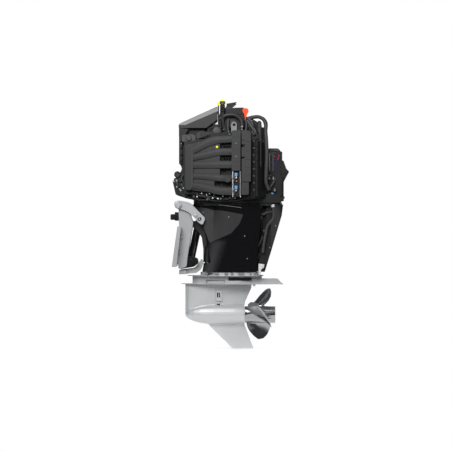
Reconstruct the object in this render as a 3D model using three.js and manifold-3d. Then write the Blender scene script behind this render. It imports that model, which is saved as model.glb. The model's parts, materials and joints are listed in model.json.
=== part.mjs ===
// Outboard motor, upper cowl off. Millimetres, +X aft, +Y starboard, +Z up.
// The origin is the centre of the transom mounting face.
import * as THREE from 'three';
import { mergeVertices } from 'three/addons/utils/BufferGeometryUtils.js';
import Module from 'manifold-3d';

const wasm = await Module();
wasm.setup();

// ---- driving dimensions ----
const gap = 0.3; // clearance between faces that meet
const runningGap = 0.4; // radial clearance of a turning shaft

const tiltX = 24; // tilt tube axis
const tiltZ = 279;
const tiltTubeRadius = 15;
const ramTopX = 162; // upper pin of the trim ram
const ramTopZ = 182;
const ramFootX = 101.5; // lower pivot of the trim ram
const ramFootZ = -104;
const ramBarrelRadius = 25;
const ramRodRadius = 11;

const steerX = 216; // steering axis, vertical
const steerShaftRadius = 19.5;
const swivelTubeRadius = 28;
const swivelTubeLow = -104;
const swivelTubeHigh = 150;
const noseRadius = 101; // front of the leg covers, round the steering axis

const clampInner = 90; // clamp webs, distance from the centre plane
const clampOuter = 114;
const flangeOuter = 185;
const armInner = 118; // swivel arms
const armOuter = 134;

const crankX = 290; // crankshaft and driveshaft axis
const bankAngle = THREE.MathUtils.degToRad(32); // each bank from the centre plane
const blockLow = 312;
const blockHigh = 712;
const bankHalfWidth = 85;
const boreRadius = 46;

const coverHalfWidth = 150; // leg covers at the top
const coverHalfWidthLow = 108;
const coverLow = -169;
const coverHigh = 281;
const coverThickness = 6;
const panelThickness = 3;

const legLow = -168; // driveshaft housing
const legHigh = 285;
const legWall = 8;
const adapterHigh = 300;

const plateLow = -251; // anti-ventilation plate
const plateHigh = -247;
const plateHalfWidth = 118;
const midsectionHalfWidth = 62;

const shaftZ = -452.3; // propeller axis
const torpedoRadius = 69;
const gearcaseRear = 465;
const propShaftRadius = 12;
const driveshaftRadius = 11;
const carrierRadius = 50; // bearing carrier bore

const gearModule = 3.6;
const pinionTeeth = 13;
const gearTeeth = 24;
const gearFace = 15;
const hubWallThickness = 6;
const dogTravel = 16;
const dogLength = 12;

const hubRadius = 60;
const hubFront = 467;
const hubRear = 669;
const bladeTipRadius = 180;
const bladeCount = 3;
const propPitch = 640;

const boltHalfHigh = 163.5; // transom bolts, half spacing of the upper and of the lower pair
const boltHalfLow = 125.5;
const boltRise = 203;
const boltHoleRadius = 6.75;
const flangeTilt = THREE.MathUtils.degToRad(7.8);

// ---- materials ----
function finish(color, roughness, metalness) {
  return new THREE.MeshStandardMaterial({ color, roughness, metalness });
}
const gearcaseGrey = finish(0xb0b2b4, 0.45, 0.35);
const bracketGrey = finish(0xb4b6b8, 0.5, 0.35);
const glossBlack = finish(0x060606, 0.15, 0.0);
const matteBlack = finish(0x151515, 0.6, 0.0);
const charcoal = finish(0x2e2e30, 0.55, 0.0);
const plasticGrey = finish(0x3c3c3e, 0.5, 0.0);
const castBlack = finish(0x1c1d1f, 0.45, 0.3);
const steel = finish(0xb8bcc0, 0.3, 0.9);
const polished = finish(0x8b8e92, 0.12, 1.0);
const yellow = finish(0xf2ee40, 0.45, 0.0);
const rubber = finish(0x101010, 0.75, 0.0);

// ---- solid helpers ----
function solidOf(geometry) {
  const plain = geometry.clone();
  for (const name of Object.keys(plain.attributes)) {
    if (name !== 'position') plain.deleteAttribute(name);
  }
  const merged = mergeVertices(plain, 1e-3);
  const vertProperties = Float32Array.from(merged.attributes.position.array);
  let triVerts = Uint32Array.from(merged.index.array);
  triVerts = withoutSlivers(triVerts);
  if (signedVolume(vertProperties, triVerts) < 0) triVerts.reverse();
  return new wasm.Manifold(new wasm.Mesh({ numProp: 3, vertProperties, triVerts }));
}

function withoutSlivers(triangles) {
  const kept = [];
  for (let i = 0; i < triangles.length; i += 3) {
    const [a, b, c] = triangles.subarray(i, i + 3);
    if (a !== b && b !== c && c !== a) kept.push(a, b, c);
  }
  return Uint32Array.from(kept);
}

function signedVolume(points, triangles) {
  const corner = (index) => new THREE.Vector3().fromArray(points, index * 3);
  let total = 0;
  for (let i = 0; i < triangles.length; i += 3) {
    const [a, b, c] = [corner(triangles[i]), corner(triangles[i + 1]), corner(triangles[i + 2])];
    total += a.dot(b.cross(c)) / 6;
  }
  return total;
}

function join(first, ...rest) {
  return rest.reduce((sum, next) => sum.add(next), first);
}

function cut(first, ...rest) {
  return rest.reduce((sum, next) => sum.subtract(next), first);
}

function block(x0, x1, y0, y1, z0, z1) {
  const geometry = new THREE.BoxGeometry(x1 - x0, y1 - y0, z1 - z0);
  geometry.translate((x0 + x1) / 2, (y0 + y1) / 2, (z0 + z1) / 2);
  return solidOf(geometry);
}

// a closed outline whose corners are rounded by up to the given radius
function roundedShape(points, radius) {
  const shape = new THREE.Shape();
  const corners = points.map(([x, y]) => new THREE.Vector2(x, y));
  corners.forEach((corner, i) => {
    const before = corners[(i + corners.length - 1) % corners.length];
    const after = corners[(i + 1) % corners.length];
    const inward = before.clone().sub(corner);
    const outward = after.clone().sub(corner);
    const reach = Math.min(radius, inward.length() / 2.2, outward.length() / 2.2);
    const start = corner.clone().add(inward.setLength(reach));
    const end = corner.clone().add(outward.setLength(reach));
    if (i === 0) shape.moveTo(start.x, start.y);
    else shape.lineTo(start.x, start.y);
    if (reach > 0.5) shape.quadraticCurveTo(corner.x, corner.y, end.x, end.y);
  });
  shape.closePath();
  return shape;
}

function extruded(shape, depth) {
  return new THREE.ExtrudeGeometry(shape, { depth, bevelEnabled: false, curveSegments: 2 });
}

// side outline (x, z), from one y to another
function slab(points, y0, y1, radius = 0.1) {
  const geometry = extruded(roundedShape(points, radius), y1 - y0);
  geometry.rotateX(Math.PI / 2);
  geometry.translate(0, y1, 0);
  return solidOf(geometry);
}

// plan outline (x, y), from one z to another
function deck(points, z0, z1, radius = 0.1) {
  const geometry = extruded(roundedShape(points, radius), z1 - z0);
  geometry.translate(0, 0, z0);
  return solidOf(geometry);
}

// both sides of the centre plane, as one list of plan points
function mirrored(points) {
  return [...points, ...points.map(([x, y]) => [x, -y]).reverse()];
}

function bar(from, to, radius, sides = 12) {
  const start = new THREE.Vector3(...from);
  const along = new THREE.Vector3(...to).sub(start);
  const geometry = new THREE.CylinderGeometry(radius, radius, along.length(), sides);
  geometry.translate(0, along.length() / 2, 0);
  const turn = new THREE.Quaternion().setFromUnitVectors(new THREE.Vector3(0, 1, 0), along.normalize());
  geometry.applyQuaternion(turn);
  geometry.translate(start.x, start.y, start.z);
  return solidOf(geometry);
}

// profile of [distance along the axis, radius], turned about X, Y or Z through a point
function turned(profile, axis, through, sides = 20) {
  const points = profile.map(([along, radius]) => new THREE.Vector2(radius, along));
  const geometry = new THREE.LatheGeometry(points, sides);
  if (axis === 'x') geometry.rotateZ(-Math.PI / 2);
  if (axis === 'z') geometry.rotateX(Math.PI / 2);
  geometry.translate(...through);
  return solidOf(geometry);
}

function ring(low, high, inner, outer, axis, through, sides = 20) {
  const profile = [[low, inner], [low, outer], [high, outer], [high, inner], [low, inner]];
  return turned(profile, axis, through, sides);
}

// skins closed loops of [x, y, z] points; the two ends are capped in the plane of the named axes
function loft(loops, capAxes) {
  const count = loops[0].length;
  const positions = loops.flat(2);
  const triangles = [];
  for (let level = 0; level + 1 < loops.length; level += 1) {
    for (let i = 0; i < count; i += 1) {
      const a = level * count + i;
      const b = level * count + (i + 1) % count;
      // the diagonals mirror each other on the two halves of a loop, so two skins keep their distance
      if (i < count / 2) triangles.push(a, b, b + count, a, b + count, a + count);
      else triangles.push(a, b, a + count, b, b + count, a + count);
    }
  }
  const last = (loops.length - 1) * count;
  const flat = (loop) => loop.map((point) => new THREE.Vector2(point[capAxes[0]], point[capAxes[1]]));
  const firstCap = flat(loops[0]);
  const flipped = THREE.ShapeUtils.area(firstCap) < 0;
  for (const [a, b, c] of THREE.ShapeUtils.triangulateShape(firstCap, [])) triangles.push(c, b, a);
  for (const [a, b, c] of THREE.ShapeUtils.triangulateShape(flat(loops.at(-1)), [])) {
    triangles.push(a + last, b + last, c + last);
  }
  if (flipped) fixCaps(triangles, count, loops.length);
  const geometry = new THREE.BufferGeometry();
  geometry.setAttribute('position', new THREE.Float32BufferAttribute(positions, 3));
  geometry.setIndex(triangles);
  return solidOf(geometry);
}

// triangulation always turns one way, so clockwise loops need their wall turned instead
function fixCaps(triangles, count, levels) {
  const wallEnd = (levels - 1) * count * 6;
  for (let i = 0; i < wallEnd; i += 3) {
    const kept = triangles[i + 1];
    triangles[i + 1] = triangles[i + 2];
    triangles[i + 2] = kept;
  }
}

function hose(points, radius, steps, sides = 10) {
  const curve = new THREE.CatmullRomCurve3(points.map((point) => new THREE.Vector3(...point)));
  const section = new THREE.Shape();
  section.absarc(0, 0, radius, 0, Math.PI * 2);
  const geometry = new THREE.ExtrudeGeometry(section, {
    steps,
    curveSegments: sides / 2,
    bevelEnabled: false,
    extrudePath: curve,
  });
  return solidOf(geometry);
}

const part = new THREE.Group();

function add(name, solid, material) {
  const mesh = solid.getMesh();
  const geometry = new THREE.BufferGeometry();
  const step = mesh.numProp;
  const positions = new Float32Array((mesh.vertProperties.length / step) * 3);
  for (let i = 0; i < positions.length / 3; i += 1) {
    positions.set(mesh.vertProperties.subarray(i * step, i * step + 3), i * 3);
  }
  geometry.setAttribute('position', new THREE.BufferAttribute(positions, 3));
  geometry.setIndex(Array.from(mesh.triVerts));
  geometry.computeVertexNormals();
  const piece = new THREE.Mesh(geometry, material);
  piece.name = name;
  part.add(piece);
}

const sides = { port: -1, starboard: 1 };

// y range on one side of the centre plane
function sideRange(side, inner, outer) {
  return side < 0 ? [-outer, -inner] : [inner, outer];
}

function sideSlab(points, side, inner, outer, radius) {
  return slab(points, ...sideRange(side, inner, outer), radius);
}

// ---- transom clamp ----
function clampBracket(side) {
  const web = sideSlab(
    [[24, 262], [48, 268], [62, 244], [100, 221], [122, 162], [85, -65], [78, -132], [24, -150],
      [22, -81], [28, 150]],
    side, clampInner, clampOuter, 10,
  );
  const lean = Math.tan(flangeTilt);
  const face = (z) => z * lean;
  const flange = sideSlab(
    [[face(134), 134], [face(134) + 25, 134], [face(-134) + 30, -134], [face(-134), -134]],
    side, clampInner, flangeOuter, 4,
  );
  const [eyeLow, eyeHigh] = sideRange(side, clampInner, clampOuter);
  const eye = bar([tiltX, eyeLow, tiltZ], [tiltX, eyeHigh, tiltZ], 26, 18);
  const gusset = sideSlab([[0, 100], [60, 120], [60, -110], [0, -120]], side, clampInner, clampOuter, 4);
  let bracket = join(web, flange, eye, gusset);
  bracket = cut(bracket, block(-60, 0, -200, 200, -200, 200).rotate([0, 7.8, 0]));
  bracket = cut(bracket, bar([tiltX, -200, tiltZ], [tiltX, 200, tiltZ], tiltTubeRadius + gap, 18));
  const bolts = [[boltHalfHigh, boltRise / 2], [boltHalfLow, -boltRise / 2]];
  for (const [y, z] of bolts) {
    const hole = bar([-60, side * y, z], [60, side * y, z], boltHoleRadius, 12);
    bracket = cut(bracket, hole);
  }
  return bracket;
}
for (const [name, side] of Object.entries(sides)) {
  add(`${name}_clamp_bracket`, clampBracket(side), bracketGrey);
}

const nutFace = armOuter + 2;
const nutEnd = armOuter + 16;
const tubeEnd = armOuter + 20;
add('tilt_tube', turned([
  [-tubeEnd, 0], [-tubeEnd, tiltTubeRadius], [-nutEnd, tiltTubeRadius], [-nutEnd, 22], [-nutFace, 22],
  [-nutFace, tiltTubeRadius], [nutFace, tiltTubeRadius], [nutFace, 22], [nutEnd, 22],
  [nutEnd, tiltTubeRadius], [tubeEnd, tiltTubeRadius], [tubeEnd, 0],
], 'y', [tiltX, 0, tiltZ]), steel);

// ---- trim unit ----
const manifoldHalf = clampInner - 2;
const ramPocket = 34; // half width left free for the ram
const manifoldOutline = [[36, -64], [110, -64], [150, -80], [158, -110], [128, -134], [34, -150]];
let manifold = slab(manifoldOutline, -manifoldHalf, manifoldHalf, 8);
manifold = cut(manifold, block(62, 200, -ramPocket, ramPocket, -200, 0));
for (const side of [-1, 1]) {
  const boss = bar([ramFootX, side * manifoldHalf, ramFootZ], [ramFootX, side * (manifoldHalf + 20),
    ramFootZ], 20, 20);
  manifold = join(manifold, cut(boss, block(-100, 100, -clampOuter, clampOuter, -200, 0)));
}
add('trim_manifold', manifold, matteBlack);

const pumpX = 62;
const pumpY = 61;
const pumpRadius = 23;
const pumpFoot = -64 + gap;
add('trim_pump_motor', turned([
  [pumpFoot, 0], [pumpFoot, pumpRadius + 3], [pumpFoot + 12, pumpRadius + 3], [pumpFoot + 12, pumpRadius],
  [85, pumpRadius], [92, pumpRadius - 8], [92, 0],
], 'z', [pumpX, -pumpY, 0]), matteBlack);
add('trim_fluid_reservoir', join(
  turned([[pumpFoot, 0], [pumpFoot, pumpRadius], [96, pumpRadius], [104, pumpRadius - 6], [104, 0]], 'z',
    [pumpX, pumpY, 0]),
  bar([pumpX, pumpY, 100], [pumpX, pumpY, 114], 9, 6),
), matteBlack);

const tieHalf = 56;
let tie = slab([[27, -156], [126, -144], [146, -126], [176, -80], [190, -102], [176, -150], [144, -176],
  [28, -186]],
  -tieHalf, tieHalf, 10);
tie = cut(tie, block(104, 200, -ramPocket, ramPocket, -146, 0));
tie = join(tie, block(28, 76, -clampInner + gap, clampInner - gap, -184, -158));
add('lower_tie_casting', tie, bracketGrey);

add('steering_hydraulic_block', join(
  slab([[-30, 178], [-30, 215], [0, 217], [0, 177]], -76, -34, 6),
  slab([[-1, 172], [-1, 230], [30, 228], [30, 172]], -80, -30, 6),
  bar([15, -clampInner + gap, 200], [15, -70, 200], 12, 12),
), matteBlack);

const ramLength = Math.hypot(ramTopX - ramFootX, ramTopZ - ramFootZ);
const ramDirection = new THREE.Vector3(ramTopX - ramFootX, 0, ramTopZ - ramFootZ).normalize();
const barrelTop = 252;
const pistonRadius = 19.5;
const barrelBore = pistonRadius + runningGap;

function alongRam(profile, count) {
  const solid = turned(profile, 'z', [0, 0, 0], count);
  const tilt = THREE.MathUtils.radToDeg(Math.atan2(ramDirection.x, ramDirection.z));
  return solid.rotate([0, tilt, 0]).translate([ramFootX, 0, ramFootZ]);
}

const footHalf = 24;
let barrel = join(
  alongRam([[14, 0], [14, ramBarrelRadius], [barrelTop, ramBarrelRadius], [barrelTop, 0]], 20),
  bar([ramFootX, -footHalf, ramFootZ], [ramFootX, footHalf, ramFootZ], 22, 18),
);
barrel = cut(
  barrel,
  alongRam([[30, 0], [30, barrelBore], [241, barrelBore], [241, 0]], 18),
  alongRam([[240, 0], [240, ramRodRadius + runningGap], [260, ramRodRadius + runningGap], [260, 0]], 16),
  bar([ramFootX, -footHalf - 1, ramFootZ], [ramFootX, footHalf + 1, ramFootZ], 9, 16),
);
add('trim_ram_barrel', barrel, matteBlack);

const pinRadius = 8;
const eyeHalf = 13;
const rod = cut(
  join(
    alongRam([[36, 0], [36, ramRodRadius], [ramLength, ramRodRadius], [ramLength, 0]], 16),
    alongRam([[31, 0], [31, pistonRadius], [47, pistonRadius], [47, 0]], 18),
    bar([ramTopX, -eyeHalf, ramTopZ], [ramTopX, eyeHalf, ramTopZ], 18, 20),
  ),
  bar([ramTopX, -eyeHalf - 1, ramTopZ], [ramTopX, eyeHalf + 1, ramTopZ], pinRadius + gap, 16),
);
add('trim_ram_rod', rod, steel);

// ---- swivel bracket ----
const armOutline = [
  [2, 298], [20, 307], [50, 304], [101, 293], [199, 192], [199, 178], [183, 142], [150, 166], [136, 186],
    [124, 197],
  [89, 231], [61, 243], [30, 251], [8, 254], [-3, 270], [-3, 288],
];
const cheekOutline = [
  [84, 256], [107, 256], [109, 172], [136, 170], [146, 196], [162, 206], [180, 198], [187, 150], [202, 150],
  [202, -60], [192, -40], [178, 60], [152, 104], [104, 140], [88, 170],
];
const cheekInner = 32;
const cheekOuter = 48;
function swivelBracket() {
  const arms = [-1, 1].map((side) => sideSlab(armOutline, side, armInner, armOuter, 12));
  const cheeks = [-1, 1].map((side) => sideSlab(cheekOutline, side, cheekInner, cheekOuter));
  const earHalf = eyeHalf + 1;
  const ears = [-1, 1].map((side) => {
    const [low, high] = sideRange(side, earHalf, cheekInner + 2);
    return bar([ramTopX, low, ramTopZ], [ramTopX, high, ramTopZ], 22, 20);
  });
  const beam = slab([[74, 258], [98, 284], [107, 262], [108, 240], [90, 243]], -armOuter + 1,
    armOuter - 1, 4);
  const outriggers = [-1, 1].map((side) => {
    const shape = [[90, 246], [100, 262], [118, 240], [108, 231]];
    return sideSlab(shape, side, clampInner - 8, armInner + 4, 3);
  });
  const tube = bar([steerX, 0, swivelTubeLow], [steerX, 0, swivelTubeHigh], swivelTubeRadius, 20);
  const spine = block(188, 210, -cheekOuter, cheekOuter, 0, swivelTubeHigh - 0.5);
  let bracket = join(tube, ...arms, ...cheeks, ...ears, beam, ...outriggers, spine);
  const shaftBore = steerShaftRadius + runningGap;
  bracket = cut(bracket, bar([steerX, 0, -200], [steerX, 0, 200], shaftBore, 20));
  bracket = cut(bracket, bar([tiltX, -200, tiltZ], [tiltX, 200, tiltZ], tiltTubeRadius + runningGap, 18));
  bracket = cut(bracket, bar([ramTopX, -60, ramTopZ], [ramTopX, 60, ramTopZ], pinRadius + gap, 16));
  return bracket;
}
add('swivel_bracket', swivelBracket(), bracketGrey);
add('trim_upper_pin', bar([ramTopX, -cheekOuter - 4, ramTopZ], [ramTopX, cheekOuter + 4, ramTopZ],
  pinRadius, 16), steel);

const lockX = 170;
const lockZ = 195;
const lockInner = armOuter + 1;
const lockLever = cut(
  slab([[lockX - 14, lockZ - 10], [lockX - 14, lockZ + 8], [lockX + 14, lockZ + 8], [lockX + 12, lockZ - 60],
    [lockX - 2, lockZ - 66]], lockInner, lockInner + 8, 6),
  bar([lockX, lockInner - 1, lockZ], [lockX, lockInner + 10, lockZ], 4, 12),
);
add('tilt_lock_lever', lockLever, bracketGrey);

// ---- steering head ----
const steerTop = 178;
const steerLow = -136;
add('steering_shaft', bar([steerX, 0, steerLow], [steerX, 0, steerTop], steerShaftRadius, 18), steel);

const legFront = 262;
const yokeFace = legFront - gap;
function yoke(z0, z1, footLow, footHigh) {
  const radius = 28;
  const plan = mirrored([[steerX, radius], [245, 52], [yokeFace, 60]]);
  const head = bar([steerX, 0, z0], [steerX, 0, z1], radius, 18);
  const foot = block(yokeFace - 12, yokeFace, -78, 78, footLow, footHigh);
  const bore = bar([steerX, 0, z0 - 1], [steerX, 0, z1 + 1], steerShaftRadius + gap, 18);
  return cut(join(deck(plan, z0, z1), head, foot), bore);
}
add('upper_yoke', yoke(157, 174, 138, 198), castBlack);
add('lower_yoke', yoke(-132, -112, -150, -92), castBlack);

// ---- driveshaft housing and its covers ----
function legLoop(z, grow) {
  const share = (z - legLow) / (legHigh - legLow);
  const rear = THREE.MathUtils.lerp(536, 596, share) + grow;
  const half = THREE.MathUtils.lerp(68, 82, share) + grow;
  const front = legFront - grow;
  const plan = mirrored([[front, half - 16], [front + 16, half], [rear - 60, half], [rear, half - 40]]);
  return plan.map(([x, y]) => [x, y, z]);
}
const leg = cut(
  loft([legLoop(legLow, 0), legLoop(legHigh, 0)], [0, 1]),
  loft([legLoop(legLow - 1, -legWall), legLoop(legHigh + 1, -legWall)], [0, 1]),
);
add('driveshaft_housing', leg, castBlack);

// plan line of the side cover on one side at height z: round the steering axis, then widening aft
function coverLine(z, outward) {
  const share = THREE.MathUtils.clamp((z - coverLow) / (coverHigh - coverLow), 0, 1);
  const half = THREE.MathUtils.lerp(coverHalfWidthLow, coverHalfWidth, share ** 0.8);
  const line = [];
  const arcSteps = 8;
  for (let i = 0; i <= arcSteps; i += 1) {
    const turn = Math.PI * (0.97 - 0.47 * (i / arcSteps));
    const radius = noseRadius + outward;
    line.push([steerX + radius * Math.cos(turn), radius * Math.sin(turn)]);
  }
  const shoulder = THREE.MathUtils.lerp(noseRadius + 3, half, 0.72);
  line.push([258, noseRadius + 3 + outward]);
  line.push([304, shoulder + outward]);
  line.push([350, half + outward]);
  line.push([480, half + outward]);
  line.push([575, half - 8 + outward]);
  return line;
}

function coverSkin(side, inner, outer) {
  const levels = [coverLow, -60, 60, 180, coverHigh];
  const loops = levels.map((z) => {
    const outside = coverLine(z, outer).map(([x, y]) => [x, side * y, z]);
    const inside = coverLine(z, inner).map(([x, y]) => [x, side * y, z]);
    return [...outside, ...inside.reverse()];
  });
  return loft(loops, [0, 1]);
}

const coverOutline = [
  [116, 281], [116, 268], [164, 196], [190, 139], [239, -104], [189, -124], [182, -168.8], [545, -168.8],
    [548, -60],
  [566, 120], [572, 281],
];
const panelOutline = [[116, 272], [454, 214], [432, 156], [376, 90], [231, 23], [164, 196]];
for (const [name, side] of Object.entries(sides)) {
  const shell = coverSkin(side, -coverThickness, 0).intersect(slab(coverOutline, -200, 200, 6));
  add(`${name}_side_cover`, shell, glossBlack);
  const panel = coverSkin(side, gap, gap + panelThickness).intersect(slab(panelOutline, -200, 200, 10));
  add(`${name}_side_panel`, panel, charcoal);
}

const rearEdge = [[722, 281], [712, 208], [680, 108], [648, -7], [598, -168]];
const rearHalf = 90;
const rearWall = 6;
const rearFront = [[560, -168], [560, -90], [608, 30], [608, 281]];
const rearInside = [
  ...rearEdge.map(([x, z]) => [x - rearWall, z > 280 ? z + 20 : z]).slice(0, -1),
  [598 - rearWall - 4, -160], [540, -160], [540, 301],
];
const rearPlan = mirrored([[500, rearHalf], [640, rearHalf], [700, rearHalf - 22], [730, rearHalf - 50]]);
const rearPlanInside = rearPlan.map(([x, y]) => [x - rearWall * (x > 600), y - Math.sign(y) * rearWall]);
const rearShell = slab([...rearEdge, ...rearFront], -rearHalf - 1, rearHalf + 1).intersect(deck(rearPlan,
  -200, 300));
const rearHollow = slab(rearInside, -rearHalf - 1, rearHalf + 1).intersect(deck(rearPlanInside, -200, 310));
add('rear_leg_cover', cut(rearShell, rearHollow), glossBlack);

const adapterPlan = mirrored([[130, 60], [152, 108], [192, 138], [640, 138], [690, 90]]);
add('adapter_plate', cut(
  deck(adapterPlan, legHigh + gap, adapterHigh, 8),
  bar([crankX, 0, 200], [crankX, 0, 400], 20, 20),
  block(380, 520, -50, 50, 200, 400),
), castBlack);

// ---- gearcase ----
function foil(front, rear, halfThickness, z, count = 6) {
  const upper = [];
  for (let i = 0; i <= count; i += 1) {
    const t = (i / count) ** 1.6;
    const swell = 0.2969 * Math.sqrt(t) - 0.126 * t - 0.3516 * t ** 2 + 0.2843 * t ** 3 - 0.1015 * t ** 4;
    upper.push([front + (rear - front) * t, Math.max(10 * halfThickness * swell, 1.6), z]);
  }
  const lower = upper.map(([x, y]) => [x, -y, z]).reverse();
  return [...upper, ...lower];
}
const strutTop = plateLow - gap;
const strutHalf = 34;
const strut = loft([
  foil(67, gearcaseRear - 2, strutHalf, shaftZ),
  foil(67, gearcaseRear, strutHalf, -392),
  foil(67, 469, strutHalf, -369),
  foil(67, 511, strutHalf - 1, -279),
  foil(67, 514, strutHalf, strutTop),
], [0, 1]);

const torpedoNose = 262;
const torpedoProfile = [[67.5, 0]];
const noseSteps = 6;
for (let i = 1; i <= noseSteps; i += 1) {
  const turn = (Math.PI / 2) * (i / noseSteps);
  torpedoProfile.push([torpedoNose - (torpedoNose - 67.5) * Math.cos(turn), torpedoRadius * Math.sin(turn)]);
}
torpedoProfile.push([400, torpedoRadius], [gearcaseRear, torpedoRadius - 5], [gearcaseRear, 0]);
const torpedo = turned(torpedoProfile, 'x', [0, 0, shaftZ], 20);
const skeg = loft([foil(190, 458, 9, -500), foil(219, 465, 8, -521), foil(382, 526, 3.6, -684)], [0, 1]);

const chamberFront = 232;
const chamberRear = 348;
const chamberRadius = 52;
const shiftX = 200;
const shiftRadius = 6;
const inletLow = -365;
const inletHigh = -291;
const inletFront = 273;
const inletRear = 313;
const gearcase = cut(
  join(strut, torpedo, skeg),
  bar([chamberFront, 0, shaftZ], [chamberRear, 0, shaftZ], chamberRadius, 20),
  bar([chamberRear - 1, 0, shaftZ], [gearcaseRear + 5, 0, shaftZ], carrierRadius, 20),
  bar([crankX, 0, shaftZ], [crankX, 0, -384], 31, 20),
  bar([crankX, 0, shaftZ], [crankX, 0, -200], driveshaftRadius + 4, 16),
  bar([shiftX, 0, -472], [shiftX, 0, -200], shiftRadius + 3, 12),
  bar([shiftX - 18, 0, shaftZ], [chamberFront + 2, 0, shaftZ], 22, 16),
  ...[-1, 1].map((side) => {
    const [low, high] = sideRange(side, strutHalf - 7 - gap, strutHalf + 20);
    return block(inletFront - gap, inletRear + gap, low, high, inletLow - gap, inletHigh + gap);
  }),
);
add('gearcase', gearcase, gearcaseGrey);

for (const [name, side] of Object.entries(sides)) {
  const [low, high] = sideRange(side, strutHalf - 7, strutHalf + 1.5);
  let inlet = block(inletFront, inletRear, low, high, inletLow, inletHigh);
  for (const x of [288, 296]) {
    inlet = cut(inlet, block(x - 2.5, x + 2.5, low - 1, high + 1, -340, -310));
  }
  add(`${name}_water_inlet`, inlet, gearcaseGrey);
}

function midsectionPlan(grow) {
  const half = midsectionHalfWidth + grow;
  return mirrored([[116 - grow, 8], [150, half * 0.55], [220, half * 0.9], [300, half], [440, half],
    [580 + grow, 30]]);
}
const plateRim = mirrored([[41, 12], [90, 44], [200, 84], [330, 104], [480, plateHalfWidth],
  [640, plateHalfWidth],
  [708, 96], [721, 60]]);
let upperCase = join(
  deck(midsectionPlan(0), plateHigh - 1, -197, 6),
  deck(plateRim, plateLow, plateHigh, 8),
  slab([[521, -248], [521, -214], [685, -214], [716, -248]], -44, 44, 6),
);
upperCase = cut(
  upperCase,
  bar([crankX, 0, -300], [crankX, 0, -100], driveshaftRadius + 4, 16),
  bar([shiftX, 0, -300], [shiftX, 0, -100], shiftRadius + 3, 12),
  block(360, 500, -38, 38, -260, -190),
  ...[-1, 1].map((side) => {
    const [low, high] = sideRange(side, midsectionHalfWidth - 5, midsectionHalfWidth + 10);
    return block(356, 436, low, high, -223, -203);
  }),
);
add('upper_gearcase', upperCase, gearcaseGrey);

const splashNose = 46;
const splashArc = [];
for (let i = 0; i <= 6; i += 1) {
  const turn = Math.PI * (1 - (i / 6) * 0.5);
  splashArc.push([steerX + splashNose * Math.cos(turn), splashNose * Math.sin(turn)]);
}
splashArc[0][1] = 1;
let splash = join(
  deck(mirrored([...splashArc, [228, 62], [262, 96], [520, 96], [568, 60]]), -193, -170.3),
  deck(mirrored([[83, 20], [120, 60], [200, 92], [300, 104], [540, 104], [591, 70]]), -196.4, -192.5, 8),
);
splash = cut(
  splash,
  bar([crankX, 0, -300], [crankX, 0, -100], driveshaftRadius + 4, 16),
  bar([shiftX, 0, -300], [shiftX, 0, -100], shiftRadius + 3, 12),
  block(360, 500, -38, 38, -260, -100),
);
add('splash_plate', splash, gearcaseGrey);

const sternTube = propShaftRadius + 1;
add('bearing_carrier', join(
  ring(chamberRear + 2, chamberRear + 22, sternTube, carrierRadius - gap, 'x', [0, 0, shaftZ], 20),
  ring(chamberRear + 4, gearcaseRear - 4, sternTube, 30, 'x', [0, 0, shaftZ], 20),
  ring(gearcaseRear - 20, gearcaseRear - 4, sternTube, carrierRadius - gap, 'x', [0, 0, shaftZ], 20),
), steel);

// ---- bevel gears ----
const coneDistance = (gearModule / 2) * Math.hypot(pinionTeeth, gearTeeth);

// a bevel gear with its apex at the origin and its back towards +Z
function bevelGear(teeth, mateTeeth, hubLength, bore, firstTooth) {
  const pitchAngle = Math.atan2(teeth, mateTeeth);
  const addendum = gearModule * 0.55;
  const dedendum = gearModule * 1.5;
  const gearLoop = (distance) => {
    const scale = distance / coneDistance;
    const loop = [];
    for (let i = 0; i < teeth; i += 1) {
      const step = (Math.PI * 2) / teeth;
      const centre = firstTooth + i * step;
      const corners = [[-0.23, -dedendum], [-0.06, addendum], [0.06, addendum], [0.23, -dedendum]];
      for (const [share, height] of corners) {
        const rise = height * scale;
        const radius = distance * Math.sin(pitchAngle) + rise * Math.cos(pitchAngle);
        const along = distance * Math.cos(pitchAngle) - rise * Math.sin(pitchAngle);
        const turn = centre + share * step;
        loop.push([radius * Math.cos(turn), radius * Math.sin(turn), along]);
      }
    }
    return loop;
  };
  const inner = gearLoop(coneDistance - gearFace);
  const outer = gearLoop(coneDistance);
  const positions = [...inner, ...outer].flat();
  const count = inner.length;
  const innerFace = Math.min(...inner.map((point) => point[2])) + 0.5;
  const outerFace = Math.max(...outer.map((point) => point[2]));
  positions.push(0, 0, innerFace, 0, 0, outerFace);
  const triangles = [];
  for (let i = 0; i < count; i += 1) {
    const next = (i + 1) % count;
    triangles.push(i, next, count + next, i, count + next, count + i);
    triangles.push(next, i, count * 2);
    triangles.push(count + i, count + next, count * 2 + 1);
  }
  const geometry = new THREE.BufferGeometry();
  geometry.setAttribute('position', new THREE.Float32BufferAttribute(positions, 3));
  geometry.setIndex(triangles);
  const hub = bar([0, 0, outerFace - 6], [0, 0, outerFace + hubLength], bore + hubWallThickness, 20);
  return cut(join(solidOf(geometry), hub), bar([0, 0, 0], [0, 0, 200], bore, 20));
}

// the forward gear meets a tooth of the pinion, the reverse gear meets a space
const halfStep = Math.PI / gearTeeth;
const pinion = bevelGear(pinionTeeth, gearTeeth, 12, driveshaftRadius + gap, Math.PI);
add('pinion_gear', pinion.translate([crankX, 0, shaftZ]), steel);
const sideBore = propShaftRadius + runningGap;
const forward = bevelGear(gearTeeth, pinionTeeth, 12, sideBore, Math.PI + halfStep).rotate([0, -90, 0]);
add('forward_gear', forward.translate([crankX, 0, shaftZ]), steel);
const reverse = bevelGear(gearTeeth, pinionTeeth, 12, sideBore, Math.PI).rotate([0, 90, 0]);
add('reverse_gear', reverse.translate([crankX, 0, shaftZ]), steel);

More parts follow.
